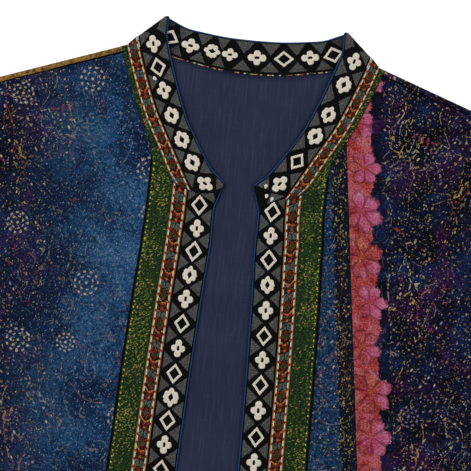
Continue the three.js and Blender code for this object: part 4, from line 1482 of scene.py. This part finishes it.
def lozenge(half, long, count, seed, uneven=0.16):
    rng = random.Random(seed)
    corners = [(half, 0), (0, long), (-half, 0), (0, -long), (half, 0)]
    points = []
    for k in range(count):
        side, t = divmod(4 * k / count, 1)
        x, y = between(corners[int(side)], corners[int(side) + 1], t)
        points.append((x * 0.985 + rng.uniform(-uneven, uneven), y * 0.985 + rng.uniform(-uneven, uneven)))
    return points


motifSize = {"half": 7.1, "long": 8.7, "lozengeHalf": 7.7, "lozengeLong": 9.7, "height": 0.32}


def mirrored(rounds):
    return [(sx * x, sy * y, radius) for x, y, radius in rounds
            for sx, sy in ((1, 1), (-1, 1), (1, -1), (-1, -1)) if (x or sx > 0) and (y or sy > 0)]


def makeMotifs():
    m = motifSize
    half, long = m["half"], m["long"]
    petals = mirrored([(half - 3.2, 0, 3.2), (0, long - 3.3, 3.3), (0, 0, 4.1)])
    lobes = mirrored([
        (half * 0.5, long * 0.32, 2.7), (0, long - 2.2, 2.2), (half - 2, 0, 2), (0, long * 0.55, 2.4)])
    collection = bpy.data.collections.new("motifs")
    bpy.context.scene.collection.children.link(collection)
    for twin in (0, 1):
        shapes = [
            (petalOutline(petals, 40, 31 + twin),
             petalOutline([(0, 0.9, 1.1), (0, -0.9, 1.1)], 40, 7 + twin, 0.1)),
            (lozenge(m["lozengeHalf"], m["lozengeLong"], 32, 41 + twin),
             lozenge(4.6, 5.9, 32, 51 + twin, 0.1)),
            (petalOutline(lobes, 40, 61 + twin), lozenge(2.1, 3.7, 40, 71 + twin, 0.15)),
            (petalOutline([(0, 0.6, 1.6), (0.5, -0.8, 1.2)], 16, 81 + twin), None),
        ]
        for kind, (outline, hole) in enumerate(shapes):  # the nodes take them by their names' order
            collection.objects.link(pad(f"motif{kind}twin{twin}", outline, hole, m["height"]))
    return collection


def stitchShape(name, length, width, height):
    turns = [2 * math.pi * k / 8 for k in range(8)]
    piece = pad(name, [(length / 2 * math.cos(a), width / 2 * math.sin(a)) for a in turns], None, height)
    bpy.context.scene.collection.objects.link(piece)
    return piece


# scraps of cut motifs beside the collar's ends and its seam
for side, across, down in ((1, 24.0, 144.9), (1, 25.6, 153.6), (1, 30.6, 156.0), (-1, 85.6, 58.0)):
    at = place(side, across, down, bandHeight(side, across, down) + 0.66)
    motifsOn[side].append((at, upwards, Vector((side * 0.6, 1, 0)), 3, 1.0))
motifs, motifNodes = makeMotifs(), motifTree()
for side, name in ((1, "motifsLeft"), (-1, "motifsRight"), (0, "motifsCollar")):
    places, ups, alongs, kinds, sizes = zip(*motifsOn[side])
    base = bpy.data.meshes.new(name)
    base.from_pydata(places, [], [])
    for label, values in (("up", ups), ("along", alongs)):
        attribute = base.attributes.new(label, "FLOAT_VECTOR", "POINT")
        attribute.data.foreach_set("vector", [part for value in values for part in value.normalized()])
    twins = [kind * 2 + k % 2 for k, kind in enumerate(kinds)]
    base.attributes.new("kind", "INT", "POINT").data.foreach_set("value", twins)
    base.attributes.new("size", "FLOAT", "POINT").data.foreach_set("value", sizes)
    grow(name, motifNodes, base, "wide_ribbon", "cream", Motifs=motifs, Seed=4)
for piece in list(motifs.objects):
    bpy.data.objects.remove(piece)
bpy.data.collections.remove(motifs)
print("motifs woven in")


# Flecks and dots of the green bands

stitches, flecksOver = stitchTree(), scatterTree()
fleck = stitchShape("fleckShape", 1.9, 0.9, 0.2)
dot = stitchShape("dotShape", 1.9, 1.4, 0.35)


def onBand(side, line):
    return [place(side, x, y, bandHeight(side, x, y) + cloth["ribbon"] / 2 - 0.03) for x, y in line]


for side, hand in hands.items():
    rows = greenRows(side, [0.08, 0.35, 0.62, 0.86])
    width = len(rows[0])
    quads = [(i * width + j, (i + 1) * width + j, (i + 1) * width + j + 1, i * width + j + 1)
             for i in range(len(rows) - 1) for j in range(width - 1)]
    surface = bpy.data.meshes.new("surface")
    surface.from_pydata([p for row in rows for p in onBand(side, row[::-1])], [], quads)
    grow("greenFlecks" + hand.title(), flecksOver, surface, "green_band", "flecks",
         Density=260000.0, Patches=62.0, Stitch=fleck, Seed=5 + side)
    line = [(x - 3.6, y) for x, y in (row[-1] for row in greenRows(side, [0, 1])) if y > 132]
    sewAlong("yellowDots" + hand.title(), onBand(side, line), "green_band", "dots", dot, 5.2, 0.25, 2 + side)
print("green bands flecked")


# Threads of the back neck seam and the hem

neckStitch = stitchShape("neckStitchShape", 2.5, 1.15, 0.4)
hemStitch = stitchShape("hemStitchShape", 2.6, 0.6, 0.3)
points = [a + Vector((0, -0.9, 0.5)) * mm for a, b in innerRows if a.z / mm < 2.6]
sewAlong("neckSeamThreads", points, "narrow_ribbon", "neckThread", neckStitch, 2.1, 0.2, 9)
for side, hand in hands.items():
    line = [(64 + 220 * k / 70, jacket["length"] - 12) for k in range(71)]
    points = [place(side, x, y, frontMiddle(side, x, y) + cloth["body"] / 2 - 0.05) for x, y in line]
    sewAlong("hemStitches" + hand.title(), points, "print_" + hand, "hemThread", hemStitch, 4.2, 0.1, 3)
for shape in (fleck, dot, neckStitch, hemStitch):
    bpy.data.objects.remove(shape)
print("threads sewn")
